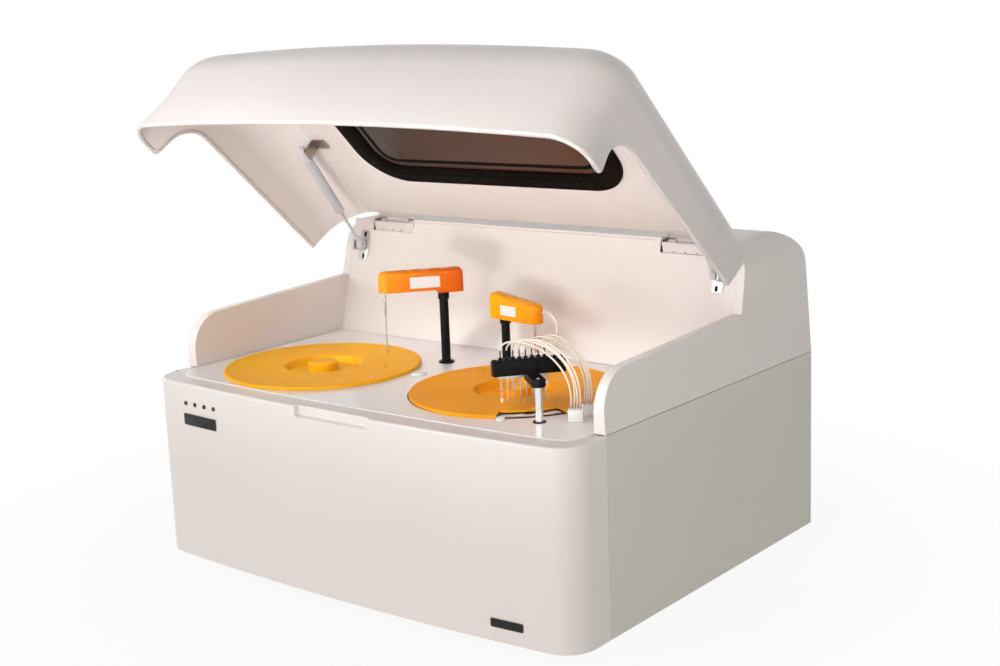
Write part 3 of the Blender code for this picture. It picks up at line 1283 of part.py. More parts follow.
def build():
    """Make every sub-part and hang it on the empties of its joint."""
    fixed = [front_cover(), rear_panel(), upper_shell(), rear_wall(), deck_plate(), base_pan()]
    fixed += [side_panel("left"), side_panel("right")]
    fixed += feet()
    fixed.append(front_plate("name_plate", NAME_PLATE, NAME_PLATE["inset"] - HALF_WIDTH))
    fixed.append(front_plate("lower_plate", LOWER_PLATE, HALF_WIDTH - LOWER_PLATE["inset"]))
    fixed += [indicator_board(), *wash_cups(), *inner_units(), *inlet_parts()]
    fixed += [drain_block(name, spec) for name, spec in DRAINS.items()]
    for name, spec in DRAINS.items():
        fixed.append(hose("wash_hose_" + name, spec, name))

    for side in DISC_CENTRES:
        centre = (*DISC_CENTRES[side], 0)
        cover, well, motor, rotor = disc_parts(side)
        spin = axle(side + "_disc_axis", centre)
        carry(spin, cover, rotor)
        fixed += [well, motor, spin]

    for name, spec in ARMS.items():
        turn = axle(name + "_axis", (*spec["post"], 0))
        carry(turn, *arm_parts(name, spec))
        fixed.append(turn)

    bar, needles, post, bush = wash_head()
    lift = axle("wash_lift_axis", (*WASH_POST, 0))
    carry(lift, bar, needles, post)
    fixed += [lift, bush]

    lid_axis = axle("lid_axis", (0, HINGE_Y, HINGE_Z))
    carry(lid_axis, lid_shell(), *lid_window())
    for side, sign in (("left", -1), ("right", 1)):
        hinge_base, hinge_leaf = hinge_parts(side)
        wall_bracket, rod, tube, lid_bracket = strut_parts(side)
        carry(lid_axis, hinge_leaf, lid_bracket)
        strut_axis = axle("strut_axis_" + side, (sign * STRUT_X, STRUT_PIVOT_Y, STRUT_PIVOT_Z))
        carry(strut_axis, rod, tube)
        strut_axis.rotation_euler.x = -STRUT_OPEN
        fixed += [hinge_base, wall_bracket, strut_axis]
    lid_axis.rotation_euler.x = -LID_OPEN
    fixed.append(lid_axis)

    ground = axle("bench_origin", (0, -HALF * BODY_DEPTH, FOOT_HEIGHT))
    for thing in fixed:
        thing.parent = ground


build()
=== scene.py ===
"""Studio scene of the benchtop chemistry analyzer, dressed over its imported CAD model.

Shapes are drawn with x to the right, y backwards from the front plane and z up from the casing's
lower edge, the lid closed and the struts level. Each one is then brought to its place at rest.
"""
import math
import random

import bmesh
import bpy
from mathutils import Matrix, Vector


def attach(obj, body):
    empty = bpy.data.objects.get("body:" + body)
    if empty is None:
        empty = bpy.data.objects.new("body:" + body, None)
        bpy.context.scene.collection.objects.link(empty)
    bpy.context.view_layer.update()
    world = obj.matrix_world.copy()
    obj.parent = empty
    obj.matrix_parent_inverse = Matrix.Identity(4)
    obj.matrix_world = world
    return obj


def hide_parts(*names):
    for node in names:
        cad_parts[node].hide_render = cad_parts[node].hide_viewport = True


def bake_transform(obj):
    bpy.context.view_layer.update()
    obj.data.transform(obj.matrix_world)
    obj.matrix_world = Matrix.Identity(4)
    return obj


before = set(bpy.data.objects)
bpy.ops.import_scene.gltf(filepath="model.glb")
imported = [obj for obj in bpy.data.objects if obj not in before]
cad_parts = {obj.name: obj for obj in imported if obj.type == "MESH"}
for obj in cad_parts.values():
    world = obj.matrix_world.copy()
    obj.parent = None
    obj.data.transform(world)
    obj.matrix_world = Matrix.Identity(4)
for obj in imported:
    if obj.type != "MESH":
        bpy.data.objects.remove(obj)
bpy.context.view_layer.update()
SHIFT = Vector((0, -0.350, 0.008))
IMAGE_WIDTH = 1000

# Casing
HALF_WIDTH = 0.430
BODY_DEPTH = 0.700
DECK_TOP = 0.298
DECK_UNDER = 0.294
SHELL_BASE = 0.2983
FRONT_TOP = 0.2964
TOWER_TOP = 0.505
PANEL = 0.004
FRONT_DEPTH = 0.1023
FRONT_CORNER = 0.048
FRONT_BULGE = 0.0157
FRONT_EDGE_RADIUS = 0.0045
WING_EDGE_RADIUS = 0.0025
DECK_FRONT = 0.038
DECK_CORNER = 0.045
DECK_BULGE = 0.010
DECK_REAR = 0.4726
RIM_DARK_MARK = ((-0.4262, 0.0640), (-0.4218, 0.0720))
REAR_SCREWS_X = (-0.405, -0.135, 0.135, 0.405)
REAR_SCREWS_Z = (0.020, 0.278)
WING_INNER = 0.411
WING_FRONT = 0.1000
WING_CORNER = 0.058
WING_TOP = 0.3850
WING_SLOPE = math.radians(2.45)
WALL_BASE = 0.4526
WALL_LEAN = math.radians(14.4)
TOWER_REAR_LEAN = math.radians(3.0)
TOWER_REAR_RADIUS = 0.063
TOWER_SIDE_DRAFT = math.radians(2.5)
TOWER_SIDE_RADIUS = 0.050
NOTCH_HALF = 0.0745
NOTCH_FLOOR = 0.281
NOTCH_DEPTH = 0.009
WALL_SLOT_HALF = 0.409

# Lid, its window, hinges and struts
LID_HALF = 0.4385
LID_FRONT = 0.002
LID_BASE = 0.2995
LID_TOP = 0.506
LID_REAR = 0.498
LID_WALL = 0.006
LID_CORNER = 0.054
LID_SIDE_FLARE = 0.0115
LID_FRONT_FLARE = 0.004
LID_FLARE_HEIGHT = 0.070
LID_FLARE_POWER = 1.3
LID_TOOTH_REAR = 0.0906
LID_HEEL_RADIUS = 0.006
LID_SCALLOP_Y = 0.1530
LID_SCALLOP_RADIUS = 0.060
LID_SCALLOP_TOP = 0.3814
LID_TOOTH_LEAN = math.radians(8.4)
LID_BULGE = 0.0157
LID_REAR_WIDENING = 0.004
LID_REAR_DRAFT = math.radians(0.8)
LID_SIDE_DRAFT = math.radians(2.2)
LID_FRONT_DRAFT = math.radians(1.75)
LID_SIDE_RADIUS = 0.0745
LID_FRONT_RADIUS = 0.092
LID_WALL_GAP = 0.0035
BEAD_RADIUS = 0.0040
BEAD_LIFT = 0.0010
BEAD_LIFT_ON_SIDES = 0.0014
INNER_TOP = 0.500
HINGE_Y = 0.520
HINGE_Z = 0.4955
HINGE_X = 0.313
HINGE_HALF = 0.048
POCKET_LOW = 0.482
POCKET_STRIP_TOP = 0.4982
LEAF_HALF = 0.042
LEAF_CORE_INSET = 0.0165
POCKET_REAR = 0.5305
FRAME_HALF = 0.273
FRAME_FRONT = 0.108
FRAME_REAR = 0.392
FRAME_CORNER = 0.080
FRAME_BAND = 0.037
FRAME_LIP = 0.025
FRAME_STEPS = ((0.0, 0.0), (0.0, 0.0046), (0.0014, 0.0060), (0.0220, 0.0060), (0.0232, 0.0050),
               (0.0330, 0.0046), (0.0370, 0.0026), (0.0370, 0.0))
STRUT_X = 0.377
STRUT_PIVOT = (0.482, 0.456)
STRUT_REACH = 0.2276
LID_OPEN = 45.0
STRUT_RAISED = 54.03
TURNS_AT_REST = {
    "lid": (HINGE_Y, HINGE_Z, math.radians(-LID_OPEN)),
    "strut": (*STRUT_PIVOT, math.radians(-STRUT_RAISED)),
}

# Discs, arms and wash head
DISC_CENTRES = {"left": (-0.2175, 0.2085), "right": (0.1675, 0.2370)}
COVER_TOP = 0.304
COVER_RADIUS = 0.164
DISC_HOLE = 0.158
COVER_CUT_LOW = 0.280
BOWL_RADIUS = 0.065
BOWL_DEPTH = 0.012
KNOB_RADIUS = 0.025
RING_STEPS = {"left": ((0.1180, -0.0005), (0.1500, 0.0005)), "right": ((0.1080, -0.0004), (0.1500, 0.0004))}
SECTOR = (-62.0, -25.0)
SAMPLE_TUBES = (40, 0.123)
CUVETTES = (72, 0.1372)
HOLE_SPOTS = {
    "left": ((0.1133, math.radians(19.5)), (0.1458, math.radians(7.6))),
    "right": ((0.1374, math.radians(149.5)),),
}
ARMS = {
    "front_arm": {
        "post": (-0.0566, 0.3378), "turn": math.radians(229.7), "reach": 0.098, "nose": 0.0097,
        "tail": 0.0328, "width": 0.029, "height": 0.0392, "base": 0.4188, "lift": 0.005, "fall": 0.0,
        "shaft": 0.0075, "collar": (0.4063, 0.4185), "hole": 0.0107, "sleeve": "front_sleeve",
        "label": (1, 0.032, (0.050, 0.0185), 0.50),
    },
    "rear_arm": {
        "post": (0.0283, 0.3933), "turn": math.radians(-8.5), "reach": 0.070, "nose": 0.0143,
        "tail": 0.026, "width": 0.028, "height": 0.0434, "base": 0.3713, "lift": 0.0, "fall": 0.0125,
        "shaft": 0.0072, "collar": (0.3629, 0.3710), "hole": 0.0104, "sleeve": "rear_sleeve",
        "label": (-1, 0.022, (0.036, 0.0165), 0.38),
    },
}
WASH_FIRST = (0.2419, 0.1111)
WASH_PITCH = 0.0093
WASH_COUNT = 8
WASH_RUN = (WASH_COUNT - 1) * WASH_PITCH
WASH_TURN = math.radians(50.6)
WASH_BAR_BASE = 0.358
WASH_BAR_TOP = 0.382
WASH_POST = (0.3086, 0.1114)
WASH_ARM = (0.350, 0.3616)
WASH_POST_HOLE = 0.0083
WASH_CUP = (-0.0375, 0.246)
WASH_CUP_HOLE = 0.0103
SMALL_CUP = (0.2555, 0.0893)
DRAINS = {"front": ((0.3515, 0.1405), 0.022, 0.018), "rear": ((0.3460, 0.1780), 0.018, 0.015)}
DRAIN_TURN = math.radians(30.4)
DRAIN_PIN_HEIGHT = 0.009
HOSE_RADIUS = 0.0013
HOSE_STEPS = 32
ARM_EDGE = 0.0080
ARM_POST_FOOT = 0.208
ARM_GUIDE_TOP = 0.3013
ARM_GUIDE_LOW = 0.2380
WASH_NEEDLE_TIP = 0.3160
WASH_POST_TOP = 0.3497
WASH_POST_FOOT = 0.178
ARM_STEP_START = 0.0105
LED_FIRST = -0.340
LED_PITCH = 0.024
LED_HEIGHT = 0.264
LED_COUNT = 4

# Facets
ARC_STEPS = 12
FRONT_STEPS = 40
TURN_SIDES = 128
SMALL_SIDES = 32

# Play between two pieces that touch, how far a cutting tool reaches past what it cuts, and the
# depth to which sockets reach through the deck
HAIR = 0.0003
PAST = 0.010
SOCKET_LOW = 0.268

# Camera that was fitted to the photograph, in the drawing's frame, and the lamps in the scene's
CAMERA_PLACE = Vector((1.6052, -1.5786, 0.8764))
CAMERA_ANGLES = (38.870, 11.856, -2.233)
FOCAL_PIXELS = 1553.11
FLOOR_RADIUS = 6.0
WORLD_STRENGTH = 0.33
LAMPS = (
    ("key_lamp", (-1.5, -2.9, 1.35), (0, 0, 0.40), (2.4, 1.6), 32, 180.0),
    ("low_lamp", (0.3, -2.6, 0.40), (0, 0, 0.55), (2.2, 0.7), 9, 180.0),
    ("side_lamp", (2.5, -1.9, 1.3), (0, -0.1, 0.35), (1.6, 1.6), 24, 180.0),
    ("left_lamp", (-2.6, -0.3, 1.9), (0, 0, 0.3), (1.6, 1.6), 8, 180.0),
    ("deck_lamp", (-0.1, -2.2, 2.2), (0, -0.02, 0.30), (0.9, 0.2), 0.50, 12.0),
    ("lid_lamp", (0.5, -2.6, 0.10), (0, 0.03, 0.64), (1.2, 0.4), 1.0, 17.0),
)

# Where a flat outline's two directions and its extrusion lie for each axis
PLACES = {
    "z": lambda u, v, w: (u, v, w),
    "x": lambda u, v, w: (w, u, v),
    "y": lambda u, v, w: (u, w, v),
}


def fill(node, **values):
    """Set a node's input sockets by their labels, written with _ for a space."""
    for label, value in values.items():
        node.inputs[label.replace("_", " ")].default_value = value
    return node


def new_object(name, data):
    """Object with the given data, linked to the scene."""
    made = bpy.data.objects.new(name, data)
    bpy.context.scene.collection.objects.link(made)
    return made


def plain_mesh(made):
    """Mesh of an object with its modifiers applied."""
    return bpy.data.meshes.new_from_object(made.evaluated_get(bpy.context.evaluated_depsgraph_get()))


def quarter(steps):
    """Angles of a quarter turn, both ends included."""
    return [math.pi / 2 * step / steps for step in range(steps + 1)]


def rounding(top, radius, steps=12):
    """Heights and insets of a rounded upper edge, from its foot to the top."""
    return [(top - radius * (1 - math.sin(t)), radius * (1 - math.cos(t))) for t in quarter(steps)]


def finish_mesh(bm):
    """Merge doubles, point the faces outwards and turn the bmesh into a mesh."""
    bmesh.ops.remove_doubles(bm, verts=bm.verts, dist=1e-7)
    bmesh.ops.recalc_face_normals(bm, faces=bm.faces)
    mesh = bpy.data.meshes.new("shape")
    bm.to_mesh(mesh)
    bm.free()
    return mesh


def bridge(bm, first, second):
    """Close the strip between two rings of vertices; a ring may be a single pole."""
    count = max(len(first), len(second))
    for step in range(count):
        after = (step + 1) % count
        corners = [first[step % len(first)], first[after % len(first)]]
        corners += [second[after % len(second)], second[step % len(second)]]
        corners = list(dict.fromkeys(corners))
        if len(corners) > 2:
            bm.faces.new(corners)


def loft(rings):
    """Closed solid through rings of points, capped at both ends."""
    bm = bmesh.new()
    made = [[bm.verts.new(point) for point in ring] for ring in rings]
    for first, second in zip(made, made[1:]):
        bridge(bm, first, second)
    bm.faces.new(made[0])
    bm.faces.new(made[-1])
    return finish_mesh(bm)


def turned(profile, sides=TURN_SIDES):
    """Closed solid turned about the vertical axis from a closed (radius, height) outline."""
    bm = bmesh.new()
    rings = []
    for radius, height in profile:
        if radius == 0:
            rings.append([bm.verts.new((0, 0, height))])
            continue
        turns = [math.tau * step / sides for step in range(sides)]
        rings.append([bm.verts.new((radius * math.cos(t), radius * math.sin(t), height)) for t in turns])
    for first, second in zip(rings, rings[1:] + rings[:1]):
        if len(first) > 1 or len(second) > 1:
            bridge(bm, first, second)
    return finish_mesh(bm)


def prism(outline, start, end, axis="z"):
    """Extrude a flat outline along an axis: (x, y) along z, (y, z) along x, (x, z) along y."""
    return loft([[PLACES[axis](u, v, w) for u, v in outline] for w in (start, end)])


def soft_prism(outline, start, end, edge, axis="z", steps=4):
    """Prism whose two end edges are rounded: each ring shrinks towards the outline's middle."""
    us, vs = zip(*outline)
    middle = ((min(us) + max(us)) / 2, (min(vs) + max(vs)) / 2)
    half = ((max(us) - min(us)) / 2, (max(vs) - min(vs)) / 2)
    levels = [(start + edge * (1 - math.sin(t)), edge * (1 - math.cos(t))) for t in reversed(quarter(steps))]
    levels += rounding(end, edge, steps)
    rings = []
    for w, inset in levels if start < end else reversed(levels):
        shrink = (1 - inset / half[0], 1 - inset / half[1])
        rings.append([
            PLACES[axis](middle[0] + (u - middle[0]) * shrink[0], middle[1] + (v - middle[1]) * shrink[1], w)
            for u, v in outline
        ])
    return loft(rings)


def box(low, high):
    """Box between two corners."""
    outline = [(low[0], low[1]), (high[0], low[1]), (high[0], high[1]), (low[0], high[1])]
    return prism(outline, low[2], high[2])


def soft_box(low, high, edge, corner=None):
    """Box with round upright corners and rounded ends."""
    outline = rounded(low[:2], high[:2], corner or edge, 4)
    return soft_prism(outline, low[2], high[2], edge)


def arc(centre, radius, start, end, steps):
    """Points along an arc, both ends included."""
    turns = [start + (end - start) * step / steps for step in range(steps + 1)]
    return [(centre[0] + radius * math.cos(t), centre[1] + radius * math.sin(t)) for t in turns]


def circle(radius, centre=(0, 0), sides=SMALL_SIDES):
    """Points of a circle in a flat outline."""
    return arc(centre, radius, 0, math.tau, sides)[:-1]


def rounded(low, high, radius, steps=ARC_STEPS):
    """Rectangle outline with round corners."""
    centres = [
        (high[0] - radius, low[1] + radius), (high[0] - radius, high[1] - radius),
        (low[0] + radius, high[1] - radius), (low[0] + radius, low[1] + radius),
    ]
    points = []
    for index, centre in enumerate(centres):
        points += arc(centre, radius, (index - 1) * math.pi / 2, index * math.pi / 2, steps)
    return points


def combine(target, tool_mesh, operation):
    """Cut, join or intersect a mesh with another one, and return the result."""
    base, tool = new_object("base", target), new_object("tool", tool_mesh)
    change = base.modifiers.new("change", "BOOLEAN")
    change.operation = operation
    change.solver = "EXACT"
    change.object = tool
    result = plain_mesh(base)
    for thing in (base, tool):
        bpy.data.objects.remove(thing, do_unlink=True)
    return result


def cut(target, *tools):
    """Remove each tool's volume."""
    for tool in tools:
        target = combine(target, tool, "DIFFERENCE")
    return target


def join(target, *tools):
    """Add each tool's volume."""
    for tool in tools:
        target = combine(target, tool, "UNION")
    return target


def together(*meshes):
    """Put several meshes into one without changing them."""
    bm = bmesh.new()
    for mesh in meshes:
        bm.from_mesh(mesh)
    made = bpy.data.meshes.new("shape")
    bm.to_mesh(made)
    bm.free()
    return made


def moved(mesh, place=(0, 0, 0), turn=0.0, axis="Z"):
    """Turn a mesh about an axis through the origin and then shift it."""
    mesh.transform(Matrix.Translation(Vector(place)) @ Matrix.Rotation(turn, 4, axis))
    return mesh


def mirrored(mesh, side):
    """The mesh itself for the right side, its mirror image for the left."""
    if side == "right":
        return mesh
    mesh.transform(Matrix.Diagonal((-1, 1, 1, 1)))
    mesh.flip_normals()
    return mesh


def rest_matrix(carrier=None):
    """Move from the drawing to the place at rest, for a piece that is drawn on the lid or a strut."""
    place = Matrix.Translation(SHIFT)
    if carrier:
        y, z, turn = TURNS_AT_REST[carrier]
        pivot = Vector((0, y, z))
        place = place @ Matrix.Translation(pivot) @ Matrix.Rotation(turn, 4, "X") @ Matrix.Translation(-pivot)
    return place


def show(name, mesh, finish, body, nodes=(), carrier=None, slot=None, sharp=32.0, placed=False):
    """Put a finished mesh into the scene at its place at rest, riding on its body."""
    if not placed:
        mesh.transform(rest_matrix(carrier))
    mesh.materials.clear()
    mesh.materials.append(finish)
    mesh.shade_smooth()
    mesh.set_sharp_from_angle(angle=math.radians(sharp))
    made = new_object(name, mesh)
    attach(made, body)
    if nodes:
        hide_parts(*nodes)
    return made


def show_turned(name, profile, spot, finish, body, nodes=(), slot=None, sides=48):
    """Show a piece that is turned about an upright axis at a spot of the deck."""
    return show(name, moved(turned(profile, sides), (*spot, 0)), finish, body, nodes, slot=slot)


def softened(made, width, angle=40.0, segments=3):
    """Round a piece's sharp edges and keep its flat faces flat in the light."""
    edge = made.modifiers.new("soft_edges", "BEVEL")
    edge.limit_method = "ANGLE"
    edge.angle_limit = math.radians(angle)
    edge.width = width
    edge.segments = segments
    even = made.modifiers.new("even_light", "WEIGHTED_NORMAL")
    even.keep_sharp = True
    return made


def rounded_edges(mesh, wanted, width, steps=4):
    """Round the outward edges of a mesh whose middle point is wanted."""
    bm = bmesh.new()
    bm.from_mesh(mesh)
    bmesh.ops.remove_doubles(bm, verts=bm.verts, dist=1e-6)
    edges = [
        edge for edge in bm.edges
        if len(edge.link_faces) == 2 and edge.is_convex and edge.calc_face_angle() > math.radians(40)
        and wanted((edge.verts[0].co + edge.verts[1].co) / 2)
    ]
    bmesh.ops.bevel(bm, geom=edges, offset=width, offset_type="OFFSET", segments=steps, profile=0.5,
                    affect="EDGES", clamp_overlap=True)
    bm.to_mesh(mesh)
    bm.free()
    return mesh


def split_by_plane(mesh, point, normal):
    """Cut a mesh's faces along a plane, so that each large face stays a simple one."""
    bm = bmesh.new()
    bm.from_mesh(mesh)
    bmesh.ops.bisect_plane(bm, geom=bm.verts[:] + bm.edges[:] + bm.faces[:], dist=1e-6, plane_co=point,
                           plane_no=normal)
    bm.to_mesh(mesh)
    bm.free()
    return mesh


def tube(path, radius, sides=12, radii=None):
    """Closed round tube along a path of points."""
    points = [Vector(p) for p in path]
    bm = bmesh.new()
    rings = []
    side = None
    for index, point in enumerate(points):
        ahead = points[min(index + 1, len(points) - 1)] - points[max(index - 1, 0)]
        ahead.normalize()
        if side is None:
            side = ahead.orthogonal().normalized()
        side = (side - ahead * side.dot(ahead)).normalized()
        up = ahead.cross(side)
        reach = radii[index] if radii else radius
        turns = [math.tau * step / sides for step in range(sides)]
        rings.append([
            bm.verts.new(point + side * reach * math.cos(t) + up * reach * math.sin(t)) for t in turns
        ])
    for first, second in zip(rings, rings[1:]):
        bridge(bm, first, second)
    bm.faces.new(rings[0])
    bm.faces.new(rings[-1])
    return finish_mesh(bm)


def repeat_tree(layout):
    """Node tree that sets copies of a piece round a ring, along a row or on given spots."""
    tree = bpy.data.node_groups.new("copies_in_a_" + layout, "GeometryNodeTree")
    sockets = (("Geometry", "Geometry"), ("Piece", "Object"), ("Count", "Int"), ("Reach", "Float"),
               ("Finish", "Material"))
    for label, kind in sockets:
        tree.interface.new_socket(label, in_out="INPUT", socket_type="NodeSocket" + kind)
    tree.interface.new_socket("Geometry", in_out="OUTPUT", socket_type="NodeSocketGeometry")
    nodes, link = tree.nodes, tree.links.new
    given = nodes.new("NodeGroupInput").outputs
    copies = nodes.new("GeometryNodeInstanceOnPoints")
    piece = nodes.new("GeometryNodeObjectInfo")
    link(given["Piece"], piece.inputs["Object"])
    link(piece.outputs["Geometry"], copies.inputs["Instance"])
    if layout == "ring":
        ring = nodes.new("GeometryNodeMeshCircle")
        link(given["Count"], ring.inputs["Vertices"])
        link(given["Reach"], ring.inputs["Radius"])
        link(ring.outputs["Mesh"], copies.inputs["Points"])
        step, angle = nodes.new("ShaderNodeMath"), nodes.new("ShaderNodeMath")
        step.operation, angle.operation = "DIVIDE", "MULTIPLY"
        step.inputs[0].default_value = math.tau
        link(given["Count"], step.inputs[1])
        link(nodes.new("GeometryNodeInputIndex").outputs["Index"], angle.inputs[0])
        link(step.outputs[0], angle.inputs[1])
        turn = nodes.new("ShaderNodeCombineXYZ")
        link(angle.outputs[0], turn.inputs["Z"])
        link(turn.outputs["Vector"], copies.inputs["Rotation"])
    elif layout == "row":
        row = nodes.new("GeometryNodeMeshLine")
        offset = nodes.new("ShaderNodeCombineXYZ")
        link(given["Reach"], offset.inputs["X"])
        link(given["Count"], row.inputs["Count"])
        link(offset.outputs["Vector"], row.inputs["Offset"])
        link(row.outputs["Mesh"], copies.inputs["Points"])
    else:
        turn = fill(nodes.new("GeometryNodeInputNamedAttribute"), Name="turn")
        turn.data_type = "FLOAT_VECTOR"
        link(given["Geometry"], copies.inputs["Points"])
        link(turn.outputs["Attribute"], copies.inputs["Rotation"])
    real = nodes.new("GeometryNodeRealizeInstances")
    finish = nodes.new("GeometryNodeSetMaterial")
    link(copies.outputs["Instances"], real.inputs["Geometry"])
    link(real.outputs["Geometry"], finish.inputs["Geometry"])
    link(given["Finish"], finish.inputs["Material"])
    link(finish.outputs["Geometry"], nodes.new("NodeGroupOutput").inputs["Geometry"])
    return tree


TREES = {layout: repeat_tree(layout) for layout in ("ring", "row", "spots")}


def repeated(layout, piece_mesh, finish, count=1, reach=0.0, spots=(), turns=()):
    """Plain mesh of many copies of one piece, made by its node tree."""
    points = bpy.data.meshes.new("spots")
    points.from_pydata(list(spots) or [(0, 0, 0)], [], [])
    turn = points.attributes.new("turn", "FLOAT_VECTOR", "POINT")
    for index, value in enumerate(turns):
        turn.data[index].vector = value
    piece, carrier = new_object("one_piece", piece_mesh), new_object("copies", points)
    change = carrier.modifiers.new("copies", "NODES")
    change.node_group = TREES[layout]
    wanted = {"Piece": piece, "Count": count, "Reach": reach, "Finish": finish}
    for item in TREES[layout].interface.items_tree:
        if item.in_out == "INPUT" and item.name in wanted:
            change[item.identifier] = wanted[item.name]
    bpy.context.view_layer.update()
    result = plain_mesh(carrier)
    for thing in (piece, carrier):
        bpy.data.objects.remove(thing, do_unlink=True)
    return result


def dressed(node, finish, body, edge=0.0006, sharp=32.0, slot=None, seats=()):
    """Merged copy of a CAD node with soft edges, seats for screws and a finish of its own."""
    bm = bmesh.new()
    bm.from_mesh(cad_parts[node].data)
    bmesh.ops.remove_doubles(bm, verts=bm.verts, dist=1e-6)
    bmesh.ops.dissolve_limit(bm, angle_limit=math.radians(0.5), verts=bm.verts, edges=bm.edges)
    mesh = bpy.data.meshes.new(node)
    bm.to_mesh(mesh)
    bm.free()
    for seat in seats:
        mesh = cut(mesh, moved(seat, SHIFT))
    made = show(node + "_finished", mesh, finish, body, [node], slot=slot, sharp=sharp, placed=True)
    return softened(made, edge, 35.0, 2) if edge else made


def screw_head(radius):
    """Low domed screw head with a cross recess, its seat at zero height."""
    height = radius * 0.55
    profile = [(0, height), (radius * 0.35, height * 0.97), (radius * 0.70, height * 0.80),
               (radius * 0.94, height * 0.42), (radius, 0), (0, 0)]
    head = turned(profile, 24)
    reach, thin = radius * 0.55, radius * 0.11
    for half_x, half_y in ((reach, thin), (thin, reach)):
        head = cut(head, box((-half_x, -half_y, height * 0.45), (half_x, half_y, height * 2)))
    return head


def screws(name, radius, spots, turns, finish, body, carrier=None):
    """Screw heads on given spots, each turned to face its way."""
    mesh = repeated("spots", screw_head(radius), finish, spots=spots, turns=turns)
    return show(name, mesh, finish, body, carrier=carrier)


# Materials: each one is a small node tree on the piece's own Object coordinates


class Look:
    """Node tree of one finish, with the few links that every finish here needs."""

    def __init__(self, name, colour, roughness, metallic=0.0):
        self.material = bpy.data.materials.new(name)
        self.material.use_nodes = True
        self.nodes = self.material.node_tree.nodes
        self.links = self.material.node_tree.links
        self.shader = fill(self.nodes["Principled BSDF"], Base_Color=(*colour, 1), Roughness=roughness,
                           Metallic=metallic)
        self.place = self.add("ShaderNodeTexCoord").outputs["Object"]

    def add(self, kind, **values):
        node = self.nodes.new(kind)
        for key, value in values.items():
            setattr(node, key, value)
        return node

    def noise(self, scale, detail=3.0, roughness=0.55, place=None):
        node = fill(self.add("ShaderNodeTexNoise"), Scale=scale, Detail=detail, Roughness=roughness)
        self.links.new(place or self.place, node.inputs["Vector"])
        return node.outputs["Fac"]

    def spread(self, value, low, high):
        """Bring a noise's middle range to low..high."""
        node = fill(self.add("ShaderNodeMapRange"), From_Min=0.3, From_Max=0.7, To_Min=low, To_Max=high)
        self.links.new(value, node.inputs["Value"])
        return node.outputs["Result"]

    def blend(self, share, first, second):
        """Mix two colours by a share."""
        node = self.add("ShaderNodeMix", data_type="RGBA")
        self.links.new(share, node.inputs["Factor"])
        for socket, colour in ((node.inputs["A"], first), (node.inputs["B"], second)):
            if isinstance(colour, tuple):
                socket.default_value = (*colour, 1)
            else:
                self.links.new(colour, socket)
        return node.outputs["Result"]

    def clouds(self, scale, detail, colour, shade, most=1.0):
        """Clouds of a second tone over a first one."""
        return self.blend(self.spread(self.noise(scale, detail), 0.0, most), colour, shade)

    def colour(self, value):
        self.links.new(value, self.shader.inputs["Base Color"])

    def rough(self, value, low, high):
        """Gloss that wanders between two values with a noise."""
        self.links.new(self.spread(value, low, high), self.shader.inputs["Roughness"])

    def bump(self, value, strength, distance):
        node = fill(self.add("ShaderNodeBump"), Strength=strength, Distance=distance)
        self.links.new(value, node.inputs["Height"])
        self.links.new(node.outputs["Normal"], self.shader.inputs["Normal"])


def painted_moulding(name, colour, shade, roughness, grain=1500.0, coat=0.0, painted_light_inside=None):
    """Pale painted moulding: faint clouds of tone, fine texture and a slightly uneven gloss; a second colour,
    where given, is painted light on the faces that a mesh attribute marks.
    """
    look = Look(name, colour, roughness)
    tone = look.clouds(5.0, 2.0, colour, shade)
    # Painted light: faces marked by the attribute take the second colour.
    if painted_light_inside:
        share = look.add("ShaderNodeAttribute", attribute_name="painted_light_inside")
        tone = look.blend(share.outputs["Fac"], tone, painted_light_inside)
    look.colour(tone)
    look.rough(look.noise(9.0, 1.0), roughness - 0.02, roughness + 0.03)
    look.bump(look.noise(grain, 2.0), 0.06, 0.0002)
    fill(look.shader, Coat_Weight=coat, Coat_Roughness=0.15)
    return look.material


def clear_dyed_plastic(name, colour, shade, roughness):
    """Deeply dyed moulded plastic, smooth and softly glossy."""
    look = Look(name, colour, roughness)
    look.colour(look.clouds(6.0, 1.0, colour, shade))
    look.rough(look.noise(40.0, 1.0), roughness - 0.03, roughness + 0.04)
    look.bump(look.noise(900.0, 2.0), 0.04, 0.0001)
    fill(look.shader, Specular_IOR_Level=0.14)
    return look.material


def arm_plastic(name, tail, nose, roughness):
    """Orange arm cover with painted light: its tone shifts from tail to nose, read from the mesh's own attribute.
    """
    look = Look(name, tail, roughness)
    share = look.add("ShaderNodeAttribute", attribute_name="painted_light_towards_nose")
    mixed = look.blend(share.outputs["Fac"], tail, nose)
    look.colour(look.clouds(14.0, 1.0, mixed, tail, 0.12))
    look.rough(look.noise(40.0, 1.0), roughness - 0.02, roughness + 0.03)
    look.bump(look.noise(1200.0, 2.0), 0.04, 0.0001)
    fill(look.shader, Specular_IOR_Level=0.18)
    return look.material


def dark_plastic(name, colour, shade, roughness, grain=1400.0, sheen=0.10):
    """Dark moulded plastic or rubber with a fine texture and lightly rubbed spots."""
    look = Look(name, colour, roughness)
    look.colour(look.clouds(70.0, 3.0, colour, shade))
    look.rough(look.noise(120.0), roughness - 0.08, roughness + 0.10)
    look.bump(look.noise(grain, 3.0), 0.12, 0.0002)
    fill(look.shader, Specular_IOR_Level=sheen)
    return look.material


def worked_metal(name, colour, shade, roughness, stretch):
    """Metal with a drawn or brushed grain along one axis."""
    look = Look(name, colour, roughness, 1.0)
    drawn = fill(look.add("ShaderNodeMapping"), Scale=stretch)
    look.links.new(look.place, drawn.inputs["Vector"])
    grain = look.noise(1.0, 4.0, 0.6, drawn.outputs["Vector"])
    look.colour(look.blend(look.spread(grain, 0.0, 1.0), colour, shade))
    look.rough(grain, max(0.03, roughness - 0.06), roughness + 0.08)
    look.bump(grain, 0.08, 0.0002)
    return look.material


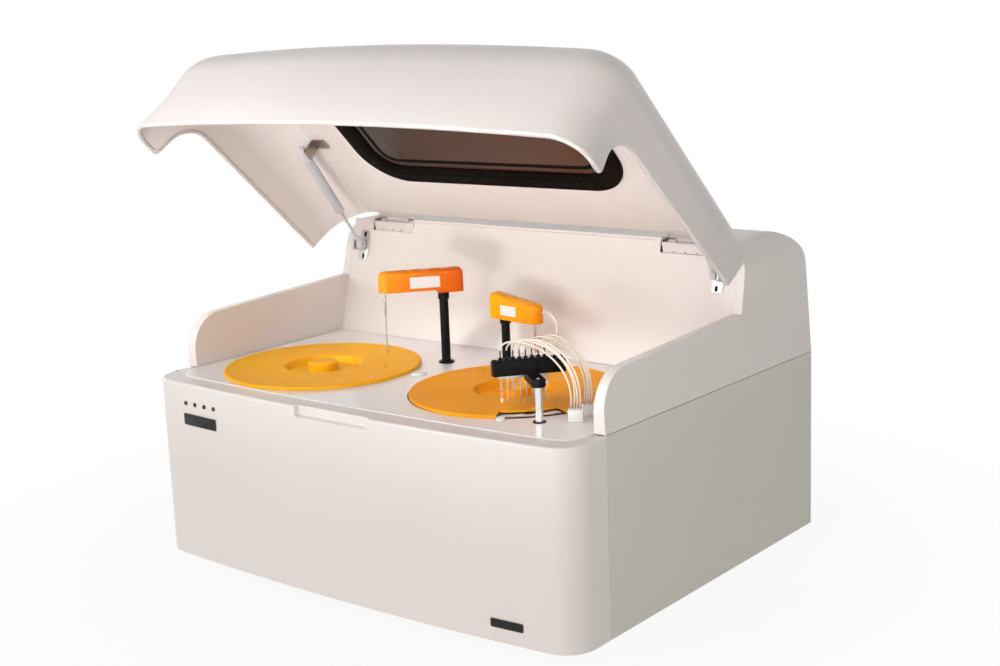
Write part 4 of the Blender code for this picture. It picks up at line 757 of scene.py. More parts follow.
def smoked_glass(name):
    """Brown smoked pane with a soft sheen; its tone, darker at the left and lighter at the right, is painted
    light.
    """
    look = Look(name, (0.08, 0.05, 0.04), 0.16)
    parts = look.add("ShaderNodeSeparateXYZ")
    look.links.new(look.place, parts.inputs["Vector"])
    # Painted light: the pane's tone grows lighter from left to right.
    across = look.add("ShaderNodeMapRange", interpolation_type="SMOOTHSTEP")
    fill(across, From_Min=-0.25, From_Max=0.10)
    look.links.new(parts.outputs["X"], across.inputs["Value"])
    tone = look.blend(across.outputs["Result"], (0.050, 0.030, 0.022), (0.100, 0.040, 0.024))
    look.colour(look.clouds(5.0, 1.0, tone, (0.045, 0.025, 0.018), 0.30))
    look.rough(look.noise(30.0, 1.0), 0.16, 0.24)
    fill(look.shader, Specular_IOR_Level=0.22, Transmission_Weight=0.10, IOR=1.49)
    return look.material


def blank_label(name, colour, shade):
    """Bare printed film with faint clouds of a darker tone."""
    look = Look(name, colour, 0.35)
    look.colour(look.clouds(200.0, 3.0, colour, shade, 0.3))
    look.bump(look.noise(700.0), 0.05, 0.0002)
    return look.material


BODY = painted_moulding("casing_paint", (0.800, 0.742, 0.704), (0.782, 0.722, 0.684), 0.34, coat=0.10)
TOWER = painted_moulding("tower_paint", (0.815, 0.757, 0.718), (0.795, 0.735, 0.695), 0.38, coat=0.10)
SIDE = painted_moulding("side_paint", (0.700, 0.675, 0.600), (0.680, 0.655, 0.578), 0.42, coat=0.05)
# Painted light: the lid's inner faces take a lighter colour and its outer faces a darker one, though both are the
# same plastic.
LID = painted_moulding("lid_paint", (0.725, 0.668, 0.640), (0.707, 0.649, 0.620), 0.36, coat=0.08,
                       painted_light_inside=(0.900, 0.862, 0.858))
# Painted light: the deck's paint is a lighter copy of the casing's pale paint, standing in for the light on the
# deck; its clear coat is real gloss.
DECK = painted_moulding("deck_paint_painted_lighter", (0.880, 0.850, 0.845), (0.868, 0.836, 0.830), 0.20, coat=0.40)
AMBER_LEFT = clear_dyed_plastic("left_cover_amber", (0.95, 0.475, 0.006), (0.92, 0.425, 0.010), 0.46)
AMBER_RIGHT = clear_dyed_plastic("right_cover_amber", (0.93, 0.370, 0.006), (0.86, 0.330, 0.010), 0.46)
# Painted light: the front arm grows lighter towards its nose, turned to the key lamp, and the rear arm darker
# towards its nose, turned away.
ORANGE_FRONT = arm_plastic("front_arm_orange", (0.76, 0.120, 0.006), (0.90, 0.33, 0.006), 0.28)
ORANGE_REAR = arm_plastic("rear_arm_orange", (0.93, 0.400, 0.006), (0.86, 0.28, 0.008), 0.28)
BLACK = dark_plastic("black_moulding", (0.0045, 0.0040, 0.0040), (0.0085, 0.0080, 0.0080), 0.36)
FRAME_BLACK = dark_plastic("window_frame_black", (0.0035, 0.0022, 0.0020), (0.0060, 0.0040, 0.0036), 0.50,
                           sheen=0.03)
RUBBER = dark_plastic("foot_rubber", (0.020, 0.020, 0.020), (0.035, 0.034, 0.033), 0.75, 700.0)
PLATE_BLACK = dark_plastic("bare_plate_black", (0.0060, 0.0055, 0.0055), (0.0100, 0.0095, 0.0090), 0.30,
                           2200.0, 0.30)
SMOKED = smoked_glass("smoked_pane")
STEEL = worked_metal("brushed_steel", (0.62, 0.61, 0.60), (0.50, 0.49, 0.48), 0.28, (60, 60, 900))
CHROME = worked_metal("chrome_plate", (0.86, 0.84, 0.83), (0.78, 0.76, 0.75), 0.06, (90, 90, 20))
SHEET = worked_metal("zinc_sheet", (0.52, 0.53, 0.54), (0.42, 0.43, 0.44), 0.42, (40, 6, 40))
BRACKET = worked_metal("bracket_steel", (0.46, 0.40, 0.36), (0.34, 0.29, 0.26), 0.36, (70, 300, 70))
STRUT = painted_moulding("strut_enamel", (0.60, 0.64, 0.70), (0.54, 0.58, 0.64), 0.24, 1100.0, 0.4)
STRUT_END = painted_moulding("strut_end_plastic", (0.66, 0.69, 0.74), (0.60, 0.63, 0.68), 0.30, 1100.0, 0.3)
GREY = painted_moulding("grey_moulding", (0.38, 0.40, 0.44), (0.33, 0.35, 0.39), 0.42)
WHITE = painted_moulding("white_moulding", (0.82, 0.80, 0.79), (0.79, 0.77, 0.75), 0.34, coat=0.2)
HOSE = painted_moulding("hose_silicone", (0.84, 0.74, 0.62), (0.78, 0.67, 0.54), 0.30, 800.0, 0.4)
PALE_HOSE = painted_moulding("pale_hose", (0.84, 0.79, 0.74), (0.79, 0.73, 0.67), 0.30, 800.0, 0.4)
BOARD = dark_plastic("board_green", (0.015, 0.085, 0.035), (0.02, 0.11, 0.05), 0.45)
LABEL = blank_label("blank_label", (0.80, 0.77, 0.76), (0.68, 0.64, 0.63))
LENS = dark_plastic("indicator_lens", (0.030, 0.025, 0.025), (0.06, 0.055, 0.05), 0.22, sheen=0.40)
CUVETTE = painted_moulding("cuvette_plastic", (0.72, 0.76, 0.78), (0.66, 0.70, 0.73), 0.20, 900.0, 0.4)


# Shared plans


def front_plan(half, front, rear, corner, bulge, inset=0.0):
    """Plan of a bulged front with round corners, from the right rear round to the left rear."""
    chord = half - corner
    sweep = (chord ** 2 + bulge ** 2) / (2 * bulge)
    middle = front + sweep
    corner_y = middle - math.sqrt((sweep - corner) ** 2 - chord ** 2)
    meet = math.atan2(corner_y - middle, chord)
    right = [(half - inset, rear)]
    right += arc((chord, corner_y), corner - inset, 0, meet, ARC_STEPS)
    across = arc((0, middle), sweep - inset, meet, -math.pi - meet, FRONT_STEPS)[1:-1]
    left = [(-x, y) for x, y in reversed(right)]
    return right + across + left


def front_cover_plan(rear, inset=0.0):
    """Plan of the front cover."""
    return front_plan(HALF_WIDTH, 0, rear, FRONT_CORNER, FRONT_BULGE, inset)


def deck_plan(rear, inset=0.0):
    """Plan of the deck plate."""
    return front_plan(WING_INNER - 0.0003, DECK_FRONT, rear, DECK_CORNER, DECK_BULGE, inset)


def front_surface(x):
    """Place on the bulged front at x, and how far the surface turns about the vertical there."""
    chord = HALF_WIDTH - FRONT_CORNER
    sweep = (chord ** 2 + FRONT_BULGE ** 2) / (2 * FRONT_BULGE)
    return sweep - math.sqrt(sweep ** 2 - x ** 2), math.asin(x / sweep)


def wall_y(z):
    """Front face of the leaning rear wall at height z."""
    return WALL_BASE + (z - DECK_TOP) * math.tan(WALL_LEAN)


def leaning_corner(base, lean, radius, inset=0.0):
    """Round upper corner over a leaning face: points from the flat top down to the base."""
    centre_z = TOWER_TOP - radius
    centre = base - (radius - math.sin(lean) * (SHELL_BASE - centre_z)) / math.cos(lean)
    points = arc((centre, centre_z), radius - inset, math.pi / 2, lean, ARC_STEPS)
    end_y, end_z = points[-1]
    points.append((end_y + (end_z - SHELL_BASE) * math.tan(lean), SHELL_BASE))
    return points


def lid_levels(z, inset):
    """How far the lid's side, rear side and front stand from the middle at height z."""
    top = LID_TOP - inset

    def drop(radius):
        above = z - (top - radius)
        return 0 if above <= 0 else radius - math.sqrt(max(0, radius ** 2 - above ** 2))

    rise = z - LID_BASE
    flare = min(1, max(0, 1 - rise / LID_FLARE_HEIGHT)) ** LID_FLARE_POWER
    side = LID_HALF - inset - drop(LID_SIDE_RADIUS - inset)
    half = side - rise * math.tan(LID_SIDE_DRAFT) + LID_SIDE_FLARE * flare
    rear_half = side - rise * math.tan(LID_REAR_DRAFT) + LID_REAR_WIDENING
    front = LID_FRONT + inset + rise * math.tan(LID_FRONT_DRAFT) + drop(LID_FRONT_RADIUS - inset)
    return half, rear_half, front - LID_FRONT_FLARE * flare


def lid_ring(z, inset, rear):
    """Plan of the lid's surface at height z, closed."""
    half, rear_half, front = lid_levels(z, inset)
    plan = front_plan(half, front, rear, LID_CORNER - inset, LID_BULGE)[1:-1]
    plan = [(rear_half, rear)] + plan + [(-rear_half, rear)]
    return [(x, y, z) for x, y in plan]


def lid_solid(inset, base, rear):
    """Closed solid of the lid's outer or inner surface."""
    radius = LID_FRONT_RADIUS - inset
    centre_z = LID_TOP - inset - radius
    rim = [LID_BASE + LID_FLARE_HEIGHT * step / 10 for step in range(11)]
    heights = ([base] if base < LID_BASE else []) + rim
    heights += [centre_z + radius * math.sin(turn) for turn in quarter(24)]
    return loft([lid_ring(z, inset, rear) for z in heights])


def lid_edge_line():
    """Lower and rear edge of the lid's side in side view: tooth, scallop, slope and leaning end."""
    heel_centre = (LID_TOOTH_REAR - LID_HEEL_RADIUS, LID_BASE + LID_HEEL_RADIUS)
    line = arc(heel_centre, LID_HEEL_RADIUS, -math.pi / 2, 0, 8)
    centre = (LID_SCALLOP_Y, LID_SCALLOP_TOP - LID_SCALLOP_RADIUS)
    line += arc(centre, LID_SCALLOP_RADIUS, math.pi - LID_TOOTH_LEAN, math.pi / 2 + WING_SLOPE, 28)
    start_y, start_z = line[-1]
    slope = math.tan(WING_SLOPE)
    lean = math.tan(WALL_LEAN)
    base_y = wall_y(start_z) - LID_WALL_GAP
    meet_y = (base_y - lean * slope * start_y) / (1 - lean * slope)
    return line, (meet_y, start_z + slope * (meet_y - start_y))


# Casing


def front_cover():
    """Bulged front with round corners, a rim round the deck and a finger notch."""
    levels = [(0, 0)] + rounding(FRONT_TOP, FRONT_EDGE_RADIUS)
    shell = loft([[(x, y, z) for x, y in front_cover_plan(FRONT_DEPTH, inset)] for z, inset in levels])
    hollow = prism(front_cover_plan(FRONT_DEPTH + PAST, PANEL), -PAST, DECK_UNDER)
    opening = prism(deck_plan(FRONT_DEPTH + PAST, -0.0008), DECK_UNDER - PAST, DECK_TOP + PAST)
    side, wall = 0.0055, 0.009
    low = (-NOTCH_HALF - side, PANEL / 2, NOTCH_FLOOR - wall)
    backing = box(low, (NOTCH_HALF + side, NOTCH_DEPTH + wall, DECK_UNDER + PANEL / 2))
    profile = [
        (-PAST, NOTCH_FLOOR - 0.003), (0.0015, NOTCH_FLOOR - 0.0005), (0.004, NOTCH_FLOOR),
        (NOTCH_DEPTH - 0.003, NOTCH_FLOOR), (NOTCH_DEPTH - 0.0008, NOTCH_FLOOR + 0.0008),
        (NOTCH_DEPTH, NOTCH_FLOOR + 0.003), (NOTCH_DEPTH, DECK_TOP + PAST), (-PAST, DECK_TOP + PAST),
    ]
    notch = prism(profile, -NOTCH_HALF, NOTCH_HALF, "x")
    shell = cut(join(cut(shell, hollow, opening), backing), notch)
    for index in range(LED_COUNT):
        x = LED_FIRST + index * LED_PITCH
        y, turn = front_surface(x)
        shell = cut(shell, moved(prism(circle(0.0040), -PAST, PAST, "y"), (x, y, LED_HEIGHT), turn))
    made = show("front_moulding", shell, BODY, "casing", ["front_cover"], slot="ivory")
    return softened(made, 0.0008, 45.0, 2)


def upper_shell():
    """Both wings and the rear tower in one moulding, open to the front and below."""
    rear = leaning_corner(BODY_DEPTH, TOWER_REAR_LEAN, TOWER_REAR_RADIUS)
    centre = (WING_FRONT + WING_CORNER, WING_TOP - WING_CORNER)
    wing = [(WING_FRONT, SHELL_BASE)] + arc(centre, WING_CORNER, math.pi, math.pi / 2 + WING_SLOPE, 16)
    joint_z = wing[-1][1] + (wall_y(WING_TOP) - wing[-1][0]) * math.tan(WING_SLOPE)
    side_view = wing + [(wall_y(joint_z), joint_z), (wall_y(TOWER_TOP), TOWER_TOP)] + rear
    corner = leaning_corner(HALF_WIDTH, TOWER_SIDE_DRAFT, TOWER_SIDE_RADIUS)
    front_view = corner + [(-x, z) for x, z in reversed(corner)]
    shell = prism(side_view, -HALF_WIDTH - PAST, HALF_WIDTH + PAST, "x")
    shell = combine(shell, prism(front_view, WING_FRONT - PAST, BODY_DEPTH + PAST, "y"), "INTERSECT")
    low_z, high_z = SHELL_BASE - PAST, TOWER_TOP + PAST
    ahead = WING_FRONT - PAST
    bay_view = [(ahead, low_z), (wall_y(low_z), low_z), (wall_y(high_z), high_z), (ahead, high_z)]
    bay = prism(bay_view, -WING_INNER, WING_INNER, "x")
    inner_rear = leaning_corner(BODY_DEPTH, TOWER_REAR_LEAN, TOWER_REAR_RADIUS, PANEL)
    inner_rear.append((inner_rear[-1][0], low_z))
    inner_top = TOWER_TOP - PANEL
    inner_view = [(wall_y(low_z) + PANEL, low_z), (wall_y(inner_top) + PANEL, inner_top)] + inner_rear
    inner_corner = leaning_corner(HALF_WIDTH, TOWER_SIDE_DRAFT, TOWER_SIDE_RADIUS, PANEL)
    inner_corner.append((inner_corner[-1][0], low_z))
    inner_front = inner_corner + [(-x, z) for x, z in reversed(inner_corner)]
    hollow = prism(inner_view, -HALF_WIDTH, HALF_WIDTH, "x")
    hollow = combine(hollow, prism(inner_front, WALL_BASE, BODY_DEPTH, "y"), "INTERSECT")
    slot_view = [
        (wall_y(low_z) - PAST, low_z), (wall_y(low_z) + PAST, low_z),
        (wall_y(inner_top) + PAST, inner_top), (wall_y(inner_top) - PAST, inner_top),
    ]
    slot = prism(slot_view, -WALL_SLOT_HALF, WALL_SLOT_HALF, "x")
    shell = cut(shell, bay, hollow, slot, hinge_notch("right"), hinge_notch("left"))
    shell = split_by_plane(shell, (0, WALL_BASE, DECK_TOP), (0, math.cos(WALL_LEAN), -math.sin(WALL_LEAN)))

    def outer_edge(point):
        ahead = wall_y(point.z) - point.y
        rim = abs(ahead) < 1e-4 and (abs(point.x) > WING_INNER - 1e-4 or point.z > TOWER_TOP - 1e-4)
        return point.z > SHELL_BASE + 1e-3 and (rim or ahead > 1e-3)

    shell = rounded_edges(shell, outer_edge, WING_EDGE_RADIUS)
    made = show("wings_and_tower", shell, TOWER, "casing", ["upper_shell"], slot="ivory")
    made.modifiers.new("even_light", "WEIGHTED_NORMAL").keep_sharp = True
    return made


def hinge_notch(side):
    """Volume of the pocket in which a lid hinge sits, open to the front and the top."""
    low = (HINGE_X - HINGE_HALF, WALL_BASE, POCKET_LOW)
    return mirrored(box(low, (HINGE_X + HINGE_HALF, POCKET_REAR, TOWER_TOP + PAST)), side)


def deck():
    """Deck plate with its openings and round edges."""
    shell = prism(deck_plan(DECK_REAR), DECK_UNDER, DECK_TOP)
    holes = [(spot, DISC_HOLE, TURN_SIDES) for spot in DISC_CENTRES.values()]
    holes += [(spec["post"], spec["hole"], SMALL_SIDES) for spec in ARMS.values()]
    holes += [(WASH_POST, WASH_POST_HOLE, SMALL_SIDES), (WASH_CUP, WASH_CUP_HOLE, SMALL_SIDES)]
    for spot, radius, sides in holes:
        shell = cut(shell, prism(circle(radius, spot, sides), DECK_UNDER - PAST, DECK_TOP + PAST))
    # The deck's colour is painted lighter than the casing's as painted light.
    made = show("deck_moulding", shell, DECK, "casing", ["deck_plate"], slot="deck")
    return softened(made, 0.0010, 50.0, 2)


# Lid


def window_outline(inset, steps=20):
    """Outline of the window's frame, drawn in by an inset."""
    low, high = (-FRAME_HALF + inset, FRAME_FRONT + inset), (FRAME_HALF - inset, FRAME_REAR - inset)
    return rounded(low, high, FRAME_CORNER - inset, steps)


def lid():
    """Moulded lid with its window opening; an attribute tells its inner faces from its outer ones, so that the
    inner faces take a lighter colour as painted light.
    """
    shell = lid_solid(0, LID_BASE, LID_REAR)
    shell = cut(shell, lid_solid(LID_WALL, LID_BASE - PAST, LID_REAR + PAST))
    edge, meet = lid_edge_line()
    low_z, high_z = LID_BASE - PAST, LID_TOP + PAST
    view = [(edge[0][0], low_z)] + edge + [meet, (wall_y(high_z) - LID_WALL_GAP, high_z)]
    view += [(BODY_DEPTH, high_z), (BODY_DEPTH, low_z)]
    reach = LID_HALF + LID_SIDE_FLARE + 2 * PAST
    shell = cut(shell, prism(view, -reach, reach, "x"))
    shell = cut(shell, prism(window_outline(FRAME_LIP, ARC_STEPS), INNER_TOP - PAST, LID_TOP + PAST))
    # Mark the inner faces, which the lid's paint colours lighter as painted light.
    share = shell.attributes.new("painted_light_inside", "FLOAT", "POINT")
    middle = Vector((0, BODY_DEPTH / 3, LID_BASE))
    for vertex in shell.vertices:
        share.data[vertex.index].value = float(vertex.normal.dot(vertex.co - middle) < 0)
    return show("lid_moulding", shell, LID, "lid", ["lid_shell"], carrier="lid", slot="lid", sharp=40.0)


def lid_side_x(y, z):
    """Middle of the lid's edge bead at a point of the side view."""
    half, rear_half, front = lid_levels(z, BEAD_RADIUS)
    plan = front_plan(half, front, LID_REAR, LID_CORNER - BEAD_RADIUS, LID_BULGE)
    corner_y = plan[1][1]
    if y < corner_y:
        radius = LID_CORNER - BEAD_RADIUS
        return half - radius + math.sqrt(max(0, radius ** 2 - (corner_y - y) ** 2))
    share = (y - corner_y) / (LID_REAR - corner_y)
    return half + (rear_half - half) * share


def lid_bead():
    """Rounded bead on the lid's lower edge, from one rear end round the front to the other."""
    edge, meet = lid_edge_line()
    (start_y, start_z), steps = edge[-1], 8
    run, rise = meet[0] - start_y, meet[1] - start_z
    slope = [(start_y + run * step / steps, start_z + rise * step / steps) for step in range(1, steps + 1)]
    side = edge + slope
    path = [(lid_side_x(y, z), y, z) for y, z in reversed(side)]
    half, _, front = lid_levels(LID_BASE, BEAD_RADIUS)
    plan = front_plan(half, front, LID_REAR, LID_CORNER - BEAD_RADIUS, LID_BULGE)[1:-1]
    path += [(x, y, LID_BASE) for x, y in plan if y < edge[0][0]]
    path += [(-x, y, z) for x, y, z in reversed(path[:len(side)])]
    lifted = [(x, y, z + (BEAD_LIFT_ON_SIDES if z > LID_BASE else BEAD_LIFT)) for x, y, z in path]
    bead = tube(lifted, BEAD_RADIUS, 16)
    return show("lid_edge_bead", bead, LID, "lid", carrier="lid", slot="lid", sharp=60.0)


def window():
    """Black frame within the lid with stepped inner lines, the smoked pane that it holds, and a black ring under
    the pane that is painted shade.
    """
    top = INNER_TOP - HAIR
    bm = bmesh.new()
    rings = []
    for inset, drop in FRAME_STEPS:
        rings.append([bm.verts.new((x, y, top - drop)) for x, y in window_outline(inset)])
    for first, second in zip(rings, rings[1:] + rings[:1]):
        bridge(bm, first, second)
    show("window_surround", finish_mesh(bm), FRAME_BLACK, "lid", ["window_frame"], "lid", "black", 25.0)
    pane = prism(window_outline(FRAME_BAND - 0.0105), INNER_TOP, INNER_TOP + 0.003)
    show("smoked_window", pane, SMOKED, "lid", ["window_pane"], "lid", "smoked")
    # Painted shade: a thin black ring under the pane stands in for the shade along the opening's edge, seen
    # through the glass.
    outer, inner = (window_outline(FRAME_BAND + reach) for reach in (0.0100, 0.0180))
    line = prism(outer, INNER_TOP - 0.0004, INNER_TOP - 0.0001)
    line = cut(line, prism(inner, INNER_TOP - PAST, INNER_TOP))
    show("window_gasket_line", line, FRAME_BLACK, "lid", carrier="lid")
    rear = FRAME_REAR - 0.0025
    spots = [(x, y, top - 0.0040) for x, y in
             ((-0.262, 0.300), (-0.1000, rear), (0.1200, rear), (0.2640, 0.270))]
    turns = [(math.pi, 0, 0.5 * index) for index in range(len(spots))]
    screws("window_screws", 0.0020, spots, turns, STEEL, "lid", "lid")


# Discs


def sector(outer, inner, margin=0.0):
    """Outline of the right cover's sector between two radii, its two ends drawn in by a margin."""
    start, end = math.radians(SECTOR[0] + margin), math.radians(SECTOR[1] - margin)
    return arc((0, 0), outer, start, end, 24) + arc((0, 0), inner, end, start, 24)


def disc_cover(side, finish, body):
    """Round cover with a bowl, a knob, fine ring steps and its holes."""
    top, low = COVER_TOP, SHELL_BASE
    floor, inner_top = top - BOWL_DEPTH, top - 0.004
    profile = [(0, top + 0.0040)]
    profile += arc((KNOB_RADIUS - 0.003, top + 0.001), 0.003, math.pi / 2, 0, 6)
    profile += [(KNOB_RADIUS, floor + 0.0015), (KNOB_RADIUS + 0.0015, floor)]
    profile += arc((BOWL_RADIUS - 0.0085, floor + 0.004), 0.004, -math.pi / 2, -0.5, 6)
    profile += [(BOWL_RADIUS - 0.0015, top - 0.0018), (BOWL_RADIUS - 0.0004, top - 0.0005)]
    profile += [(BOWL_RADIUS + 0.0015, top)]
    for radius, depth in RING_STEPS[side]:
        profile += [(radius, profile[-1][1]), (radius + 0.0012, profile[-1][1] + depth)]
    rim = profile[-1][1]
    profile += arc((COVER_RADIUS - 0.002, rim - 0.002), 0.002, math.pi / 2, 0, 6)
    profile += [(COVER_RADIUS, low), (0.1565, low), (0.1565, 0.291), (0.153, 0.291), (0.153, inner_top),
                (BOWL_RADIUS + 0.004, inner_top), (BOWL_RADIUS - 0.003, floor - 0.004), (0, floor - 0.004)]
    shell = turned(profile)
    for radius, turn in HOLE_SPOTS[side]:
        spot = (radius * math.cos(turn), radius * math.sin(turn))
        shell = cut(shell, prism(circle(0.004, spot, 24), COVER_CUT_LOW, top + PAST))
    if side == "right":
        shell = cut(shell, prism(sector(0.174, 0.135), COVER_CUT_LOW, top + PAST))
    moved(shell, (*DISC_CENTRES[side], 0))
    made = show(side + "_cover_moulding", shell, finish, body, [side + "_disc_cover"], None, "amber", 38.0)
    return softened(made, 0.0005, 60.0, 2)


def sample_tube():
    """Open sample tube with a round bottom."""
    profile = [(0, 0.2665)] + arc((0, 0.2690), 0.0055, -math.pi / 2, 0, 4)[1:]
    profile += [(0.0055, 0.2950), (0.0062, 0.2952), (0.0062, 0.2965), (0.0047, 0.2965), (0.0047, 0.2700)]
    return turned(profile + [(0, 0.2690)], 16)


def cuvette():
    """Small square open cuvette."""
    outer = soft_box((-0.0030, -0.0045, 0.2630), (0.0030, 0.0045, 0.2865), 0.0004)
    return cut(outer, box((-0.0023, -0.0038, 0.2640), (0.0023, 0.0038, 0.2990)))


def discs():
    """Both covers, with the tray, the rotor, their vessels, wells and motors."""
    disc_cover("left", AMBER_LEFT, "left_cover")
    disc_cover("right", AMBER_RIGHT, "right_cover")
    for side, node, body in (("left", "sample_tray", "tray"), ("right", "reaction_rotor", "rotor")):
        dressed(node, WHITE, body, 0.0005, slot="white")
        dressed(side + "_disc_well", WHITE, "casing", 0.0004, slot="white")
        dressed(side + "_disc_motor", BLACK, "casing", 0.0010, slot="black")
    for name, vessel, ring, side, body in (
        ("sample_tubes", sample_tube(), SAMPLE_TUBES, "left", "tray"),
        ("cuvettes", cuvette(), CUVETTES, "right", "rotor"),
    ):
        copies = repeated("ring", vessel, CUVETTE, *ring)
        show(name, moved(copies, (*DISC_CENTRES[side], 0)), CUVETTE, body)


# Arms


def arm_outline(spec, inset=0.0):
    """Plan of an arm cover, seen from its post, with a round nose and a softly rounded tail."""
    half = spec["width"] / 2 - inset
    end = spec["reach"] + spec["nose"] - inset
    tail = -spec["tail"] + inset
    corner = max(0.002, 0.0075 - inset * 0.7)
    nose = arc((end - half, 0), half, -math.pi / 2, math.pi / 2, 24)
    back = arc((tail + corner, half - corner), corner, math.pi / 2, math.pi, 8)
    back += arc((tail + corner, corner - half), corner, math.pi, math.pi * 1.5, 8)
    return nose + back


def arm_cover(name, spec, finish):
    """Cover of an arm with a soft upper edge and a small bevel below."""
    base, end = spec["base"], spec["reach"] + spec["nose"]
    slope = spec["fall"] / (end + spec["tail"])
    levels = [(base, 0.0010), (base + 0.0004, 0.0003), (base + 0.0012, 0.0)]
    rings = [[(x, y, z) for x, y in arm_outline(spec, inset)] for z, inset in levels]
    for z, inset in rounding(base + spec["height"], ARM_EDGE):
        rings.append([(x, y, z - slope * (x + spec["tail"])) for x, y in arm_outline(spec, inset)])
    shell = loft(rings)
    if spec["lift"]:
        ceiling = base + spec["lift"]
        start = ARM_STEP_START
        step_view = [
            (start, base - PAST), (start, ceiling - 0.0010), (start + 0.0010, ceiling), (end + PAST, ceiling),
            (end + PAST, base - PAST),
        ]
        shell = cut(shell, prism(step_view, -0.020, 0.020, "y"))
    # Share from tail to nose, by which the arm's colour shifts as painted light.
    share = shell.attributes.new("painted_light_towards_nose", "FLOAT", "POINT")
    for vertex in shell.vertices:
        along = (vertex.co.x + spec["tail"]) / (end + spec["tail"])
        share.data[vertex.index].value = min(1.0, max(0.0, along * 1.5 - 0.5)) ** 1.5
    moved(shell, (*spec["post"], 0), spec["turn"])
    return show(name + "_moulding", shell, finish, name, [name + "_cover"], slot="orange", sharp=50.0)


def arm_label(name, spec, side, middle, size, share):
    """Bare film on the flat flank of an arm."""
    half, z = spec["width"] / 2, spec["base"] + spec["height"] * share
    low, high = (middle - size[0] / 2, z - size[1] / 2), (middle + size[0] / 2, z + size[1] / 2)
    start, end = (half - 0.0002, half + 0.0002) if side > 0 else (-half - 0.0002, -half + 0.0002)
    film = prism(rounded(low, high, 0.0006, 4), start, end, "y")
    return show(name + "_blank_label", moved(film, (*spec["post"], 0), spec["turn"]), LABEL, name)


def tool_spot(spec):
    """Place of an arm's needle or paddle over the deck."""
    x, y = spec["post"]
    return x + spec["reach"] * math.cos(spec["turn"]), y + spec["reach"] * math.sin(spec["turn"])


def arms():
    """Both arms: cover, blank label, post, sleeve and tool."""
    front, rear = ARMS["front_arm"], ARMS["rear_arm"]
    arm_cover("front_arm", front, ORANGE_FRONT)
    arm_cover("rear_arm", rear, ORANGE_REAR)
    for name, spec in ARMS.items():
        arm_label(name, spec, *spec["label"])
    for name, spec in ARMS.items():
        post, radius, (low, top) = spec["post"], spec["shaft"], spec["collar"]
        profile = [
            (0, top), (0.0088, top), (0.0093, top - 0.0006), (0.0093, low + 0.0006), (0.0088, low),
            (radius, low), (radius, ARM_POST_FOOT), (0, ARM_POST_FOOT),
        ]
        show_turned(name + "_shaft", profile, post, BLACK, name, [name + "_post"], "black")
        bore = radius + 0.0005
        shank = bore + 0.0022
        profile = [
            (bore, ARM_GUIDE_TOP), (0.0122, ARM_GUIDE_TOP), (0.0130, ARM_GUIDE_TOP - 0.0008),
            (0.0130, SHELL_BASE), (shank, SHELL_BASE), (shank, ARM_GUIDE_LOW), (bore, ARM_GUIDE_LOW),
        ]
        show_turned(name + "_guide", profile, post, BLACK, spec["sleeve"], [name + "_sleeve"], "black")
    top = front["base"] + front["lift"] - HAIR
    profile = [
        (0, top), (0.0022, top), (0.0022, top - 0.034), (0.0018, top - 0.037), (0.0012, top - 0.040),
        (0.0011, top - 0.042), (0.0010, 0.3220), (0.0004, 0.3180), (0, 0.3180),
    ]
    show_turned("sampling_needle", profile, tool_spot(front), STEEL, "front_arm", ["front_arm_needle"],
                "steel", 24)
    top = rear["base"] - HAIR
    profile = [(0, top), (0.0022, top), (0.0022, 0.3400), (0.0014, 0.3380), (0.0014, 0.3300), (0, 0.3300)]
    blade = soft_box((-0.003, -0.0007, 0.3220), (0.003, 0.0007, 0.3340), 0.0003, 0.0005)
    paddle = moved(together(turned(profile, 24), blade), (*tool_spot(rear), 0))
    show("mixing_paddle", paddle, STEEL, "rear_arm", ["rear_arm_paddle"], slot="steel")


# Wash head


def along_bar(u):
    """Place over the deck of a point of the wash bar's middle line."""
    return WASH_FIRST[0] + u * math.cos(WASH_TURN), WASH_FIRST[1] + u * math.sin(WASH_TURN)


